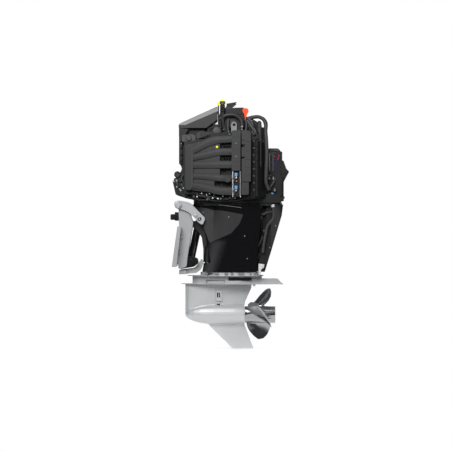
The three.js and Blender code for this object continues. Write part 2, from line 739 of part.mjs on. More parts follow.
const dogFront = crankX - dogTravel / 2 - dogLength / 2;
add('clutch_dog', ring(dogFront, dogFront + dogLength, sideBore, 19, 'x', [0, 0, shaftZ], 20), steel);
const pinionFoot = shaftZ + 24;
add('driveshaft', bar([crankX, 0, pinionFoot], [crankX, 0, adapterHigh], driveshaftRadius, 16), steel);
add('shift_shaft', join(
  bar([shiftX, 0, -470], [shiftX, 0, -200], shiftRadius, 12),
  block(shiftX - 4, shiftX + 10, -4, 4, shaftZ - 6, shaftZ + 6),
), steel);

// ---- propeller ----
const shaftFront = 222;
const threadStart = 640;
const shaftRear = 664;
add('propeller_shaft', turned([
  [shaftFront, 0], [shaftFront, propShaftRadius], [threadStart, propShaftRadius], [threadStart, 9],
    [shaftRear, 9],
  [shaftRear, 0],
], 'x', [0, 0, shaftZ], 20), steel);

function blade() {
  const stations = [50, 70, 95, 122, 150, 172, bladeTipRadius];
  const chords = [120, 156, 194, 216, 204, 160, 70];
  const aft = [531, 542, 556, 571, 586, 597, 604];
  const loops = stations.map((radius, i) => {
    const pitch = Math.atan2(propPitch, Math.PI * 2 * radius);
    const half = THREE.MathUtils.mapLinear(radius, 50, bladeTipRadius, 7, 1.6);
    const outline = [];
    const points = 8;
    for (let k = 0; k < points; k += 1) {
      const turn = (Math.PI * 2 * k) / points;
      const along = (Math.cos(turn) * chords[i]) / 2;
      const across = Math.sin(turn) * half;
      const x = aft[i] - along * Math.sin(pitch) + across * Math.cos(pitch);
      const y = along * Math.cos(pitch) + across * Math.sin(pitch);
      outline.push([x, y, Math.sqrt(Math.max(radius ** 2 - y ** 2, 400))]);
    }
    return outline;
  });
  return loft(loops, [0, 1]);
}
const hubWall = 8;
const hubInnerRadius = 24;
let propeller = join(
  ring(hubFront, hubRear, hubRadius - hubWall, hubRadius, 'x', [0, 0, 0], 18),
  ring(hubFront + 12, threadStart - 2, propShaftRadius + gap, hubInnerRadius, 'x', [0, 0, 0], 20),
);
for (let i = 0; i < bladeCount; i += 1) {
  const turn = 90 + (i * 360) / bladeCount;
  propeller = join(propeller, blade().rotate([turn, 0, 0]));
}
propeller = cut(propeller, ring(hubFront - 5, hubRear + 5, hubInnerRadius + 4, hubRadius - hubWall, 'x',
  [0, 0, 0], 18));
for (let i = 0; i < bladeCount; i += 1) {
  const rib = block(hubFront + 20, hubRear - 20, -4, 4, hubInnerRadius - 3, hubRadius - 3);
  propeller = join(propeller, rib.rotate([30 + (i * 360) / bladeCount, 0, 0]));
}
add('propeller', propeller.translate([0, 0, shaftZ]), polished);
add('propeller_nut', ring(threadStart + gap, threadStart + 16, 10, 20, 'x', [0, 0, shaftZ], 12), steel);

// ---- powerhead ----
// a box along one cylinder bank: from and to are distances from the crank axis, across is measured outward
function bankBox(side, from, to, acrossIn, acrossOut, z0, z1) {
  const geometry = new THREE.BoxGeometry(to - from, acrossOut - acrossIn, z1 - z0);
  geometry.translate((from + to) / 2, (acrossIn + acrossOut) / 2, (z0 + z1) / 2);
  geometry.rotateZ(bankAngle);
  if (side < 0) geometry.scale(1, -1, 1);
  geometry.translate(crankX, 0, 0);
  return solidOf(geometry);
}

// a point on a bank: distance from the crank axis and distance outward
function bankPoint(side, along, across, z) {
  const x = crankX + along * Math.cos(bankAngle) - across * Math.sin(bankAngle);
  const y = along * Math.sin(bankAngle) + across * Math.cos(bankAngle);
  return [x, side * y, z];
}

const deckDistance = 200;
const headDistance = 290;
const coverDistance = 345;
const boreSpacing = 97;
const crankcaseRadius = 80;
let engine = join(
  block(205, 380, -104, 104, adapterHigh + gap, blockHigh),
  ...[-1, 1].map((side) => bankBox(side, 50, deckDistance, -bankHalfWidth, bankHalfWidth, blockLow,
    blockHigh)),
);
engine = cut(engine, bar([crankX, 0, 290], [crankX, 0, 800], crankcaseRadius, 18));
for (const side of [-1, 1]) {
  for (let i = 0; i < 4; i += 1) {
    const z = blockLow + 58 + i * boreSpacing - (side > 0 ? 8 : 0);
    const start = bankPoint(side, 40, 0, z);
    const end = bankPoint(side, deckDistance + 10, 0, z);
    engine = cut(engine, bar(start, end, boreRadius, 12));
  }
}
add('cylinder_block', engine, castBlack);

for (const [name, side] of Object.entries(sides)) {
  const head = bankBox(side, deckDistance + gap, headDistance, -bankHalfWidth, bankHalfWidth, blockLow,
    blockHigh);
  add(`${name}_cylinder_head`, head, castBlack);
  const cover = join(
    bankBox(side, headDistance + gap, coverDistance - 14, -80, 80, blockLow + 6, blockHigh - 6),
    bankBox(side, headDistance + 1, coverDistance, -66, 66, blockLow + 18, blockHigh - 18),
  );
  add(`${name}_cam_cover`, cover, matteBlack);
}

const journalRadius = 26;
const throwRadius = 44;
const crankPinRadius = 22;
const crankHigh = 734;
function crankshaft() {
  let shaft = bar([crankX, 0, adapterHigh + gap], [crankX, 0, 340], journalRadius, 16);
  const throwAngles = [0, 90, 270, 180];
  throwAngles.forEach((angle, i) => {
    const low = 334 + i * boreSpacing;
    const turn = THREE.MathUtils.degToRad(angle);
    const x = crankX + throwRadius * Math.cos(turn);
    const y = throwRadius * Math.sin(turn);
    for (const z of [low, low + 56]) {
      const web = block(-34, throwRadius + 24, -28, 28, 0, 16).rotate([0, 0, angle]);
      shaft = join(shaft, web.translate([crankX, 0, z]));
    }
    shaft = join(shaft, bar([x, y, low + 8], [x, y, low + 64], crankPinRadius, 16));
    shaft = join(shaft, bar([crankX, 0, low + 64], [crankX, 0, low + 104], journalRadius, 16));
  });
  return join(shaft, bar([crankX, 0, 700], [crankX, 0, crankHigh], 20, 16));
}
add('crankshaft', crankshaft(), steel);
const flywheelRadius = 120;
const flywheelHigh = 772;
add('flywheel', turned([
  [crankHigh + gap, 0], [crankHigh + gap, flywheelRadius], [crankHigh + 16, flywheelRadius],
  [crankHigh + 16, flywheelRadius - 6], [flywheelHigh, flywheelRadius - 6],
    [flywheelHigh, flywheelRadius - 26],
  [crankHigh + 14, flywheelRadius - 30], [crankHigh + 14, 30], [flywheelHigh - 6, 30], [flywheelHigh - 6, 0],
], 'z', [crankX, 0, 0], 18), steel);

const ductEnds = [[640, 711], [593, 640], [546, 559], [472, 455], [425, 382]];
const ductHeight = 42;
const ductDepth = 30;
const ductSides = 8;
function intakeManifold(side) {
  const log = deck([[72, 165], [72, 236], [86, 246], [118, 246], [124, 200],
    [112, 165]].map(([x, y]) => [x, side * y]),
    382, 676, 8);
  const headFace = bankHalfWidth + gap;
  const flange = bankBox(side, 212, 276, headFace, headFace + 14, 344, 700);
  const ducts = ductEnds.map(([zFront, zRear]) => {
    const route = [
      [100, 212, zFront], [150, 236, zFront], [226, 246, THREE.MathUtils.lerp(zFront, zRear, 0.4)],
      [320, 241, THREE.MathUtils.lerp(zFront, zRear, 0.86)], [384, 228, zRear], [440, 211, zRear],
    ];
    const curve = new THREE.CatmullRomCurve3(route.map(([x, y, z]) => new THREE.Vector3(x, side * y, z)));
    const loops = [];
    const steps = 6;
    for (let i = 0; i <= steps; i += 1) {
      const centre = curve.getPointAt(i / steps);
      const along = curve.getTangentAt(i / steps);
      const across = new THREE.Vector3(-along.y, along.x, 0).normalize();
      const up = new THREE.Vector3().crossVectors(along, across).normalize();
      const loop = [];
      for (let k = 0; k < ductSides; k += 1) {
        const turn = (Math.PI * 2 * (k + 0.5)) / ductSides;
        const boxed = (value) => Math.sign(value) * Math.abs(value) ** 0.6;
        const point = centre.clone();
        point.addScaledVector(across, (boxed(Math.cos(turn)) * ductDepth) / 2);
        point.addScaledVector(up, (boxed(Math.sin(turn)) * ductHeight) / 2);
        loop.push(point.toArray());
      }
      loops.push(loop);
    }
    return loft(loops, [1, 2]);
  });
  const head = bankBox(side, 150, 320, -300, headFace, 200, 800);
  return cut(join(log, flange, ...ducts), head);
}
for (const [name, side] of Object.entries(sides)) {
  add(`${name}_intake_manifold`, intakeManifold(side), plasticGrey);
}

const throttleZ = 716;
const throttleRadius = 33;
const throttleFront = 44;
const throttleRear = 132;
add('throttle_body', cut(
  join(
    bar([throttleFront, 0, throttleZ], [throttleRear, 0, throttleZ], throttleRadius + 7, 20),
    block(throttleFront, throttleFront + 12, -46, 46, throttleZ - 43, throttleZ + 43),
    block(70, 100, throttleRadius, 80, throttleZ - 20, throttleZ + 20),
  ),
  bar([throttleFront - 1, 0, throttleZ], [throttleRear + 1, 0, throttleZ], throttleRadius, 20),
  bar([90, -100, throttleZ], [90, 62, throttleZ], 5, 12),
), castBlack);
add('throttle_plate', join(
  bar([88.5, 0, throttleZ], [91.5, 0, throttleZ], throttleRadius - 0.6, 20),
  bar([90, -46, throttleZ], [90, 58, throttleZ], 4.6, 12),
), steel);

const topHalf = 150;
add('top_cover', cut(
  slab([[26.5, 785], [26.5, 810], [283, 929], [283, 841], [209, 785]], -topHalf, topHalf, 6),
  slab([[32, 790], [32, 807], [290, 925], [290, 850], [205, 790]], -topHalf + 5, topHalf - 5, 4),
), charcoal);
const rearTopHalf = 116;
add('rear_top_cover', cut(
  slab([[292, 790], [298, 850], [342, 934], [376, 922], [459, 924], [470, 852], [470, 790]], -rearTopHalf,
    rearTopHalf, 6),
  slab([[298, 780], [303, 848], [345, 926], [376, 916], [454, 918], [464, 852], [464, 780]],
    -rearTopHalf + 5, rearTopHalf - 5, 4),
), charcoal);

const boxHalf = 90;
add('fuse_box', cut(
  slab([[620, 454], [620, 654], [690, 654], [707, 630], [707, 454]], -boxHalf, boxHalf, 12),
  block(640, 696, -boxHalf - 1, -boxHalf + 10, 480, 636),
), matteBlack);
add('rear_cowl_support', slab([
  [632, adapterHigh + 2], [724, adapterHigh + 2], [724, 430], [760, 499], [741, 519], [722, 573],
    [711, 573], [711, 330],
  [632, 330],
], -95, 95, 4), castBlack);
add('fuel_vapour_separator', slab([
  [30, 671], [28, 576], [48, 515], [34, 488], [-14, 432], [6, 345], [76, 322], [120, 314], [120, 370],
    [66, 384], [66, 671],
], -130, 130, 8), castBlack);

const neckX = 317;
const neckY = -138;
const neckLow = blockHigh + gap;
add('oil_filler_neck', hose([
  [neckX + 26, neckY + 6, neckLow + 14], [neckX + 22, neckY + 4, neckLow + 34], [neckX + 4, neckY, 796],
  [neckX, neckY, 850], [neckX, neckY, 944],
], 14, 8, 10), matteBlack);
add('oil_filler_cap', join(
  bar([neckX, neckY, 944 + gap], [neckX, neckY, 960], 18, 10),
  block(neckX - 14, neckX + 14, neckY - 4, neckY + 4, 958, 974),
), yellow);
add('dipstick', join(
  bar([288, neckY, 345], [288, neckY, 935], 3, 8),
  bar([288, neckY, 930], [288, neckY, 961], 8, 10),
), yellow);
add('lifting_eye', cut(
  slab([[374, blockHigh + gap], [374, 815], [384, 828], [402, 828], [412, 815], [412, blockHigh + gap]],
    -134, -122, 6),
  bar([394, -200, 808], [394, -100, 808], 10, 16),
), steel);
add('vent_hose', hose([
  [488, -126, 862], [520, -128, 872], [556, -132, 868], [592, -140, 852], [606, -152, 826], [602, -166, 770],
  [607, -177, 700], [610, -178, 600], [606, -178, 500], [604, -178, 430], [616, -170, 394], [626, -160, 380],
], 12, 26, 8), rubber);
add('flush_hose', hose([
  [650, -112, 268], [656, -112, 232], [654, -112, 186], [630, -112, 158], [612, -112, 128], [602, -112, 78],
  [592, -112, 20], [584, -112, -30],
], 8, 14, 8), rubber);

export default part;
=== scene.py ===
import json
import math
import random

import bmesh
import bpy
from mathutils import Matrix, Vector


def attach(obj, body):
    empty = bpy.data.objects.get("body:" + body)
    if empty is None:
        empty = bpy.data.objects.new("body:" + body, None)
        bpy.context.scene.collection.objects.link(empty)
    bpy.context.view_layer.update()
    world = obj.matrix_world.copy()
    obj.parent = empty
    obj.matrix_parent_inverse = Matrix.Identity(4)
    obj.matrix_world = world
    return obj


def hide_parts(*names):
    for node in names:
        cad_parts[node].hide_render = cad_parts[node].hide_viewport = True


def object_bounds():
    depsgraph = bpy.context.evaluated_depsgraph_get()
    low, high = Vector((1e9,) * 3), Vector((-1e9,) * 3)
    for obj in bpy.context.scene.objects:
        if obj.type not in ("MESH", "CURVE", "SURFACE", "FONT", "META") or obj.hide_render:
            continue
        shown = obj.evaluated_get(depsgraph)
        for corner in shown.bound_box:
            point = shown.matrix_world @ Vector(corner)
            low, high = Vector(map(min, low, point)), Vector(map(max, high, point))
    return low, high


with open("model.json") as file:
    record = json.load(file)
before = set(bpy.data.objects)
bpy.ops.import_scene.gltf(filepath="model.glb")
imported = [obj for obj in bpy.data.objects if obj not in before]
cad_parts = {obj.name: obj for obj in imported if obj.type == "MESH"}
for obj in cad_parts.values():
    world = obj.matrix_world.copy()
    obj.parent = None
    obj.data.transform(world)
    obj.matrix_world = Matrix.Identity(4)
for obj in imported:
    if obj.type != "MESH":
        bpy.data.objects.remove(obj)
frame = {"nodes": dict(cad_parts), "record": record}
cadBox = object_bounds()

mm = 0.001
sides = {"port": -1, "starboard": 1}


# shader tools
class Signal:
    # one socket whose operators add Math nodes
    def __init__(self, finish, socket):
        self.finish = finish
        self.socket = socket

    def combine(self, operation, first, second):
        return self.finish.node("ShaderNodeMath", {"operation": operation}, {0: first, 1: second})

    def __add__(self, other):
        return self.combine("ADD", self, other)

    def __radd__(self, other):
        return self.combine("ADD", other, self)

    def __sub__(self, other):
        return self.combine("SUBTRACT", self, other)

    def __rsub__(self, other):
        return self.combine("SUBTRACT", other, self)

    def __mul__(self, other):
        return self.combine("MULTIPLY", self, other)

    def __rmul__(self, other):
        return self.combine("MULTIPLY", other, self)

    def __gt__(self, other):
        return self.combine("GREATER_THAN", self, other)


class Finish:
    def __init__(self, name, **fixed):
        self.material = bpy.data.materials.new(name)
        self.material.use_nodes = True
        self.nodes = self.material.node_tree.nodes
        self.links = self.material.node_tree.links
        self.shader = self.nodes["Principled BSDF"]
        for socket, value in fixed.items():
            self.shader.inputs[socket.replace("_", " ")].default_value = value
        self.place = self.node("ShaderNodeTexCoord", output="Object")

    def node(self, kind, settings=None, values=None, output=0):
        made = self.nodes.new(kind)
        for key, value in (settings or {}).items():
            if key == "stops":
                ramp = made.color_ramp
                while len(ramp.elements) < len(value):
                    ramp.elements.new(0.5)
                for element, (position, color) in zip(ramp.elements, value):
                    element.position = position
                    element.color = color
            else:
                setattr(made, key, value)
        for key, value in (values or {}).items():
            if isinstance(value, Signal):
                self.links.new(value.socket, made.inputs[key])
            else:
                made.inputs[key].default_value = value
        return Signal(self, made.outputs[output])

    def feed(self, **signals):
        for socket, signal in signals.items():
            self.links.new(signal.socket, self.shader.inputs[socket.replace("_", " ")])

    def noise(self, scale, detail=4.0, rough=0.55, vector=None):
        values = {"Vector": vector or self.place, "Scale": scale, "Detail": detail, "Roughness": rough}
        return self.node("ShaderNodeTexNoise", None, values)

    def ramp(self, signal, low, high):
        settings = {"stops": [(low, (0, 0, 0, 1)), (high, (1, 1, 1, 1))]}
        return self.node("ShaderNodeValToRGB", settings, {"Fac": signal})

    def blend(self, factor, first, second):
        colors = {0: factor, 6: first, 7: second}
        return self.node("ShaderNodeMix", {"data_type": "RGBA"}, colors, output=2)

    def bump(self, height, strength, distance):
        values = {"Height": height, "Strength": strength, "Distance": distance}
        return self.node("ShaderNodeBump", None, values)

    def stretched(self, x, y, z):
        scaled = {0: self.place, 1: (x, y, z)}
        return self.node("ShaderNodeVectorMath", {"operation": "MULTIPLY"}, scaled)


def shade(color, amount):
    return (*[min(1.0, c * amount) for c in color[:3]], 1.0)


# painted or moulded surfaces: broad tone drift, fine grain, scuffs and a little settled dust
def coatedFinish(name, color, rough, metal=0.0, coat=0.0, grain=900, depth=0.00012, drift=0.12,
                 scuff=0.5):
    made = Finish(name, Metallic=metal, Coat_Weight=coat, Coat_Roughness=0.08, Specular_IOR_Level=0.35)
    broad = made.noise(7.0, 5.0)
    fine = made.noise(grain, 2.0)
    marks = made.ramp(made.noise(38.0, 9.0, 0.72, made.stretched(1.0, 1.0, 0.35)), 0.60, 0.74)
    base = made.blend(broad, shade(color, 1.0 - drift), shade(color, 1.0 + drift))
    worn = tuple(c * 0.9 + 0.035 for c in color[:3]) + (1.0,)
    made.feed(Base_Color=made.blend(marks * scuff * 0.5, base, worn))
    made.feed(Roughness=broad * 0.10 + fine * 0.05 + marks * 0.14 * scuff + (rough - 0.08))
    made.feed(Normal=made.bump(fine, 0.45, depth))
    return made


def machinedFinish(name, color, rough, lines=(4, 4, 260), metal=1.0):
    made = Finish(name, Metallic=metal)
    streak = made.noise(3.0, 6.0, 0.6, made.stretched(*lines))
    stain = made.noise(16.0, 6.0)
    made.feed(Base_Color=made.blend(stain, shade(color, 0.82), shade(color, 1.08)))
    made.feed(Roughness=streak * 0.16 + stain * 0.1 + (rough - 0.12))
    made.feed(Normal=made.bump(streak, 0.25, 0.00008))
    return made


def rubberFinish(name, color, rough):
    made = Finish(name, Specular_IOR_Level=0.35)
    fine = made.noise(700.0, 3.0)
    bloom = made.ramp(made.noise(11.0, 7.0), 0.45, 0.75)
    made.feed(Base_Color=made.blend(bloom * 0.35, color, shade(color, 2.6)))
    made.feed(Roughness=bloom * 0.12 + fine * 0.08 + (rough - 0.06))
    made.feed(Normal=made.bump(fine, 0.5, 0.0001))
    return made


# two-tone casting: silver where it is far from the centre plane, black on the inner tube and cheeks
def swivelFinish(name, outer, inner, limit):
    made = Finish(name, Metallic=0.25)
    split = made.node("ShaderNodeSeparateXYZ", None, {0: made.place}, output="Y")
    away = made.node("ShaderNodeMath", {"operation": "ABSOLUTE"}, {0: split}) > limit
    broad = made.noise(9.0, 5.0)
    fine = made.noise(800.0, 2.0)
    silver = made.blend(broad, shade(outer, 0.88), shade(outer, 1.1))
    black = made.blend(broad, shade(inner, 0.7), shade(inner, 1.5))
    made.feed(Base_Color=made.blend(away, black, silver))
    made.feed(Roughness=broad * 0.14 + fine * 0.06 + 0.36)
    made.feed(Normal=made.bump(fine, 0.45, 0.00012))
    return made


# gloss cover with a rougher band down its front flank, fading out upwards; the band's paler colour is a
# painted sheen
def coverFinish(name):
    made = Finish(name, Specular_IOR_Level=0.3)
    where = made.node("ShaderNodeSeparateXYZ", None, {0: made.place}, output="X")
    high = made.node("ShaderNodeSeparateXYZ", None, {0: made.place}, output="Z")
    away = made.node("ShaderNodeMath", {"operation": "ABSOLUTE"}, {0: where - (high * 0.32 + 0.278)})
    sheenStreak = made.ramp(1.0 - away * 14.0, 0.05, 0.9)
    below = made.ramp(0.5 - (high - 0.04) * 16.0, 0.3, 0.7)
    sheenBand = sheenStreak * below
    fine = made.noise(1200.0, 2.0)
    broad = made.noise(6.0, 5.0)
    # paler colour inside the band: painted sheen, not a different paint
    made.feed(Base_Color=made.blend(sheenBand, (0.0035, 0.0035, 0.004, 1), (0.014, 0.014, 0.015, 1)))
    made.feed(Roughness=sheenBand * 0.3 + broad * 0.05 + fine * 0.03 + 0.12)
    made.feed(Normal=made.bump(fine, 0.3, 0.00003))
    return made


coverBlack = coverFinish("gloss_cover")
bracketGrey = coatedFinish("bracketPaint", (0.31, 0.315, 0.32), 0.42, 0.25, grain=650, depth=0.0002)
gearcaseGrey = coatedFinish("gearcasePaint", (0.40, 0.405, 0.41), 0.38, 0.25, grain=500, drift=0.07)
glossBlack = coatedFinish("glossCover", (0.0035, 0.0035, 0.004), 0.16, grain=1200,
                          depth=0.00002, scuff=0.25)
matteCharcoal = coatedFinish("sidePanel", (0.016, 0.016, 0.017), 0.52, grain=1500,
                             depth=0.00025, drift=0.18)
castBlack = coatedFinish("castingPaint", (0.0065, 0.0065, 0.007), 0.42, 0.15, grain=420,
                         depth=0.0003)
trimBlack = coatedFinish("trimPaint", (0.006, 0.006, 0.0065), 0.3, 0.1, coat=0.3, grain=600)
enginePlastic = coatedFinish("glassFilledNylon", (0.024, 0.024, 0.025), 0.5, grain=1100,
                             depth=0.00022, drift=0.16)
eyeGrey = coatedFinish("eyePlate", (0.19, 0.19, 0.195), 0.45, 0.3, grain=600)
bandGrey = coatedFinish("paleNylon", (0.22, 0.22, 0.225), 0.5, grain=1100, depth=0.0002, drift=0.2)
lightPlastic = coatedFinish("greyNylon", (0.045, 0.045, 0.047), 0.5, grain=1100, depth=0.0002,
                            drift=0.2)
hoseRubber = rubberFinish("hoseRubber", (0.026, 0.026, 0.027, 1), 0.55)
plainSteel = machinedFinish("machinedSteel", (0.55, 0.56, 0.57), 0.34)
brightSteel = machinedFinish("brightFastener", (0.78, 0.79, 0.80), 0.26, (60, 60, 60))
propellerSteel = machinedFinish("polishedStainless", (0.30, 0.305, 0.315), 0.17, (260, 4, 4))
yellowPlastic = coatedFinish("markerYellow", (0.84, 0.78, 0.03), 0.38, grain=900, drift=0.06)
orangePlastic = coatedFinish("markerOrange", (0.90, 0.075, 0.006), 0.34, grain=900, drift=0.06)
bluePlastic = coatedFinish("connectorBlue", (0.10, 0.27, 0.50), 0.4, drift=0.1)
wireBlue = coatedFinish("wireBlue", (0.05, 0.04, 0.24), 0.45, drift=0.15)
dullRed = coatedFinish("dullRed", (0.07, 0.006, 0.012), 0.5, drift=0.2)
redPlastic = coatedFinish("wireRed", (0.30, 0.010, 0.014), 0.42, drift=0.1)
paleMetal = coatedFinish("castZinc", (0.62, 0.63, 0.64), 0.42, 0.5, grain=420, depth=0.0003)
swivelPaint = swivelFinish("swivelPaint", (0.34, 0.345, 0.35), (0.008, 0.008, 0.009), 0.100)
print("finishes made")


# mesh tools
def finished(name, mesh, body, finish, replaces=(), bevel=0.0, angle=35):
    piece = bpy.data.objects.new(name, mesh)
    bpy.context.scene.collection.objects.link(piece)
    mesh.materials.append(finish.material)
    for polygon in mesh.polygons:
        polygon.use_smooth = True
    if bevel:
        modifier = piece.modifiers.new("edges", "BEVEL")
        modifier.width = bevel
        modifier.segments = 2
        modifier.limit_method = "ANGLE"
        modifier.angle_limit = math.radians(angle)
        modifier.harden_normals = True
    mesh.set_sharp_from_angle(angle=math.radians(angle))
    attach(piece, body)
    if replaces:
        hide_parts(*replaces)
    return piece


def meshFrom(verts, faces):
    mesh = bpy.data.meshes.new("piece")
    mesh.from_pydata([Vector(v) * mm for v in verts], [], faces)
    bm = bmesh.new()
    bm.from_mesh(mesh)
    bmesh.ops.recalc_face_normals(bm, faces=bm.faces)
    bm.to_mesh(mesh)
    bm.free()
    return mesh


# gathers solids that become one piece
class Batch:
    def __init__(self):
        self.verts = []
        self.faces = []

    def take(self, verts, faces):
        start = len(self.verts)
        self.verts += [tuple(v) for v in verts]
        self.faces += [[start + i for i in face] for face in faces]
        return self

    def mirrored(self):
        twin = Batch()
        twin.take([(x, -y, z) for x, y, z in self.verts], [face[::-1] for face in self.faces])
        return twin

    def mesh(self):
        return meshFrom(self.verts, self.faces)


def rounded(points, radius, steps=4):
    outline = []
    count = len(points)
    for i, corner in enumerate(points):
        here = Vector(corner)
        back = Vector(points[i - 1]) - here
        ahead = Vector(points[(i + 1) % count]) - here
        reach = min(radius, back.length / 2.2, ahead.length / 2.2)
        start = here + back.normalized() * reach
        end = here + ahead.normalized() * reach
        for k in range(steps + 1):
            t = k / steps
            point = start * (1 - t) ** 2 + here * 2 * t * (1 - t) + end * t ** 2
            outline.append((point.x, point.y))
    return outline


# prism of an outline; place turns (u, v, depth) into x, y, z
def prism(batch, outline, low, high, place):
    count = len(outline)
    verts = [place(u, v, low) for u, v in outline] + [place(u, v, high) for u, v in outline]
    faces = [list(range(count))[::-1], list(range(count, 2 * count))]
    faces += [[i, (i + 1) % count, count + (i + 1) % count, count + i] for i in range(count)]
    return batch.take(verts, faces)


def sidePlate(batch, points, y0, y1, radius=0.0):
    outline = rounded(points, radius) if radius else points
    return prism(batch, outline, y0, y1, lambda u, v, d: (u, d, v))


def deckPlate(batch, points, z0, z1, radius=0.0):
    outline = rounded(points, radius) if radius else points
    return prism(batch, outline, z0, z1, lambda u, v, d: (u, v, d))


def box(batch, x0, x1, y0, y1, z0, z1):
    return deckPlate(batch, [(x0, y0), (x1, y0), (x1, y1), (x0, y1)], z0, z1)


def frameAlong(direction):
    along = Vector(direction).normalized()
    guide = Vector((0, 0, 1)) if abs(along.z) < 0.9 else Vector((1, 0, 0))
    across = along.cross(guide).normalized()
    return along, across, along.cross(across).normalized()


# profile of (distance along, radius) turned about an axis through a point
def turn(batch, profile, start, direction, sidesCount=32):
    along, across, up = frameAlong(direction)
    start = Vector(start)
    verts = []
    for distance, radius in profile:
        for k in range(sidesCount):
            a = 2 * math.pi * k / sidesCount
            spoke = across * math.cos(a) + up * math.sin(a)
            verts.append(start + along * distance + spoke * max(radius, 0.01))
    faces = []
    for level in range(len(profile) - 1):
        for k in range(sidesCount):
            a, b = level * sidesCount + k, level * sidesCount + (k + 1) % sidesCount
            faces.append([a, b, b + sidesCount, a + sidesCount])
    last = (len(profile) - 1) * sidesCount
    faces += [list(range(sidesCount))[::-1], list(range(last, last + sidesCount))]
    return batch.take(verts, faces)


def rod(batch, start, end, radius, sidesCount=20):
    span = Vector(end) - Vector(start)
    return turn(batch, [(0, radius), (span.length, radius)], start, span, sidesCount)


# hexagon head on a washer
def hexBolt(batch, at, direction, radius):
    turn(batch, [(0, radius * 1.5), (radius * 0.25, radius * 1.5)], at, direction, 20)
    head = [(radius * 0.2, radius), (radius * 0.9, radius), (radius * 1.05, radius * 0.85)]
    turn(batch, head, at, direction, 6)


def smoothPath(points, perSpan=8):
    points = [Vector(p) for p in points]
    ends = [points[0] * 2 - points[1], *points, points[-1] * 2 - points[-2]]
    path = []
    for i in range(1, len(ends) - 2):
        a, b, c, d = ends[i - 1:i + 3]
        for k in range(perSpan):
            t = k / perSpan
            path.append(0.5 * (2 * b + (c - a) * t + (2 * a - 5 * b + 4 * c - d) * t * t
                               + (3 * b - a - 3 * c + d) * t ** 3))
    return [*path, points[-1]]


# tube along a path; radius may be a function of the share of the path
def tube(batch, points, radius, sidesCount=16, perSpan=8):
    path = smoothPath(points, perSpan)
    up = None
    loops = []
    for i, point in enumerate(path):
        along = (path[min(i + 1, len(path) - 1)] - path[max(i - 1, 0)]).normalized()
        up = up or frameAlong(along)[2]
        up = (up - along * up.dot(along)).normalized()
        across = along.cross(up).normalized()
        size = radius(i / (len(path) - 1)) if callable(radius) else radius
        for k in range(sidesCount):
            a = 2 * math.pi * (k + 0.5) / sidesCount
            loops.append(point + across * math.cos(a) * size + up * math.sin(a) * size)
    levels = len(path)
    faces = [list(range(sidesCount))[::-1], list(range((levels - 1) * sidesCount, levels * sidesCount))]
    for level in range(levels - 1):
        for k in range(sidesCount):
            a, b = level * sidesCount + k, level * sidesCount + (k + 1) % sidesCount
            faces.append([a, b, b + sidesCount, a + sidesCount])
    return batch.take(loops, faces)


# stacked closed loops, capped at both ends
def stack(batch, loops):
    count = len(loops[0])
    verts = [point for loop in loops for point in loop]
    faces = [list(range(count))[::-1], list(range(len(verts) - count, len(verts)))]
    for level in range(len(loops) - 1):
        for k in range(count):
            a, b = level * count + k, level * count + (k + 1) % count
            faces.append([a, b, b + count, a + count])
    return batch.take(verts, faces)


# a finer copy of a CAD piece: flat faces merged, edges rounded
def refined(node, body, finish, bevel=1.2 * mm):
    source = frame["nodes"][node]
    mesh = source.data.copy()
    mesh.materials.clear()
    bm = bmesh.new()
    bm.from_mesh(mesh)
    bmesh.ops.remove_doubles(bm, verts=bm.verts, dist=0.02 * mm)
    bmesh.ops.dissolve_limit(bm, angle_limit=math.radians(2), verts=bm.verts, edges=bm.edges)
    bm.to_mesh(mesh)
    bm.free()
    return finished(node + "_shape", mesh, body, finish, (node,), bevel, angle=30)


def solidOf(name, batch, body, finish, replaces=(), bevel=0.0):
    return finished(name, batch.mesh(), body, finish, replaces, bevel)


# camera, lights, floor; the lights give place, size, power and what they face
view = {"lens": 150, "sensor": 36, "frameWidth": 3.028, "aim": (0.340, 0.0, 0.137)}
lights = {"keyLight": ((-1.0, -4.2, 2.7), (2.6, 2.4), 290, (0.4, 0, -0.2)),
          "fillLight": ((3.6, -3.2, 1.2), (1.2, 2.2), 60, (0.34, 0, 0.15)),
          "backLight": ((1.2, 3.6, 2.6), (2.4, 1.6), 120, (0.34, 0, 0.15))}
studio = {"room": (0.9, 0.95, 1, 1), "roomStrength": 0.10, "floorRadius": 1.3, "floorDrop": 0.02,
          "floorGlow": 0.45}


def makeCamera():
    data = bpy.data.cameras.new("camera")
    data.lens = view["lens"]
    data.sensor_width = view["sensor"]
    data.clip_end = 100
    camera = bpy.data.objects.new("camera", data)
    distance = view["frameWidth"] * view["lens"] / view["sensor"]
    camera.location = Vector(view["aim"]) + Vector((0, -distance, 0))
    camera.rotation_euler = (math.radians(90), 0, 0)
    bpy.context.scene.collection.objects.link(camera)
    bpy.context.scene.camera = camera


def makeLight(name, location, size, power, target):
    data = bpy.data.lights.new(name, "AREA")
    data.shape = "RECTANGLE"
    data.size, data.size_y = size
    data.energy = power
    light = bpy.data.objects.new(name, data)
    light.location = location
    light.rotation_euler = (Vector(target) - Vector(location)).to_track_quat("-Z", "Y").to_euler()
    bpy.context.scene.collection.objects.link(light)


def makeStudio():
    world = bpy.data.worlds.new("studio")
    world.use_nodes = True
    nodes, links = world.node_tree.nodes, world.node_tree.links
    room = nodes["Background"]
    room.inputs["Color"].default_value = studio["room"]
    room.inputs["Strength"].default_value = studio["roomStrength"]
    paper = nodes.new("ShaderNodeBackground")
    paper.inputs["Color"].default_value = (1, 1, 1, 1)
    mix = nodes.new("ShaderNodeMixShader")
    rays = nodes.new("ShaderNodeLightPath")
    links.new(rays.outputs["Is Camera Ray"], mix.inputs["Fac"])
    links.new(room.outputs[0], mix.inputs[1])
    links.new(paper.outputs[0], mix.inputs[2])
    links.new(mix.outputs[0], nodes["World Output"].inputs[0])
    bpy.context.scene.world = world
    for name, settings in lights.items():
        makeLight(name, *settings)


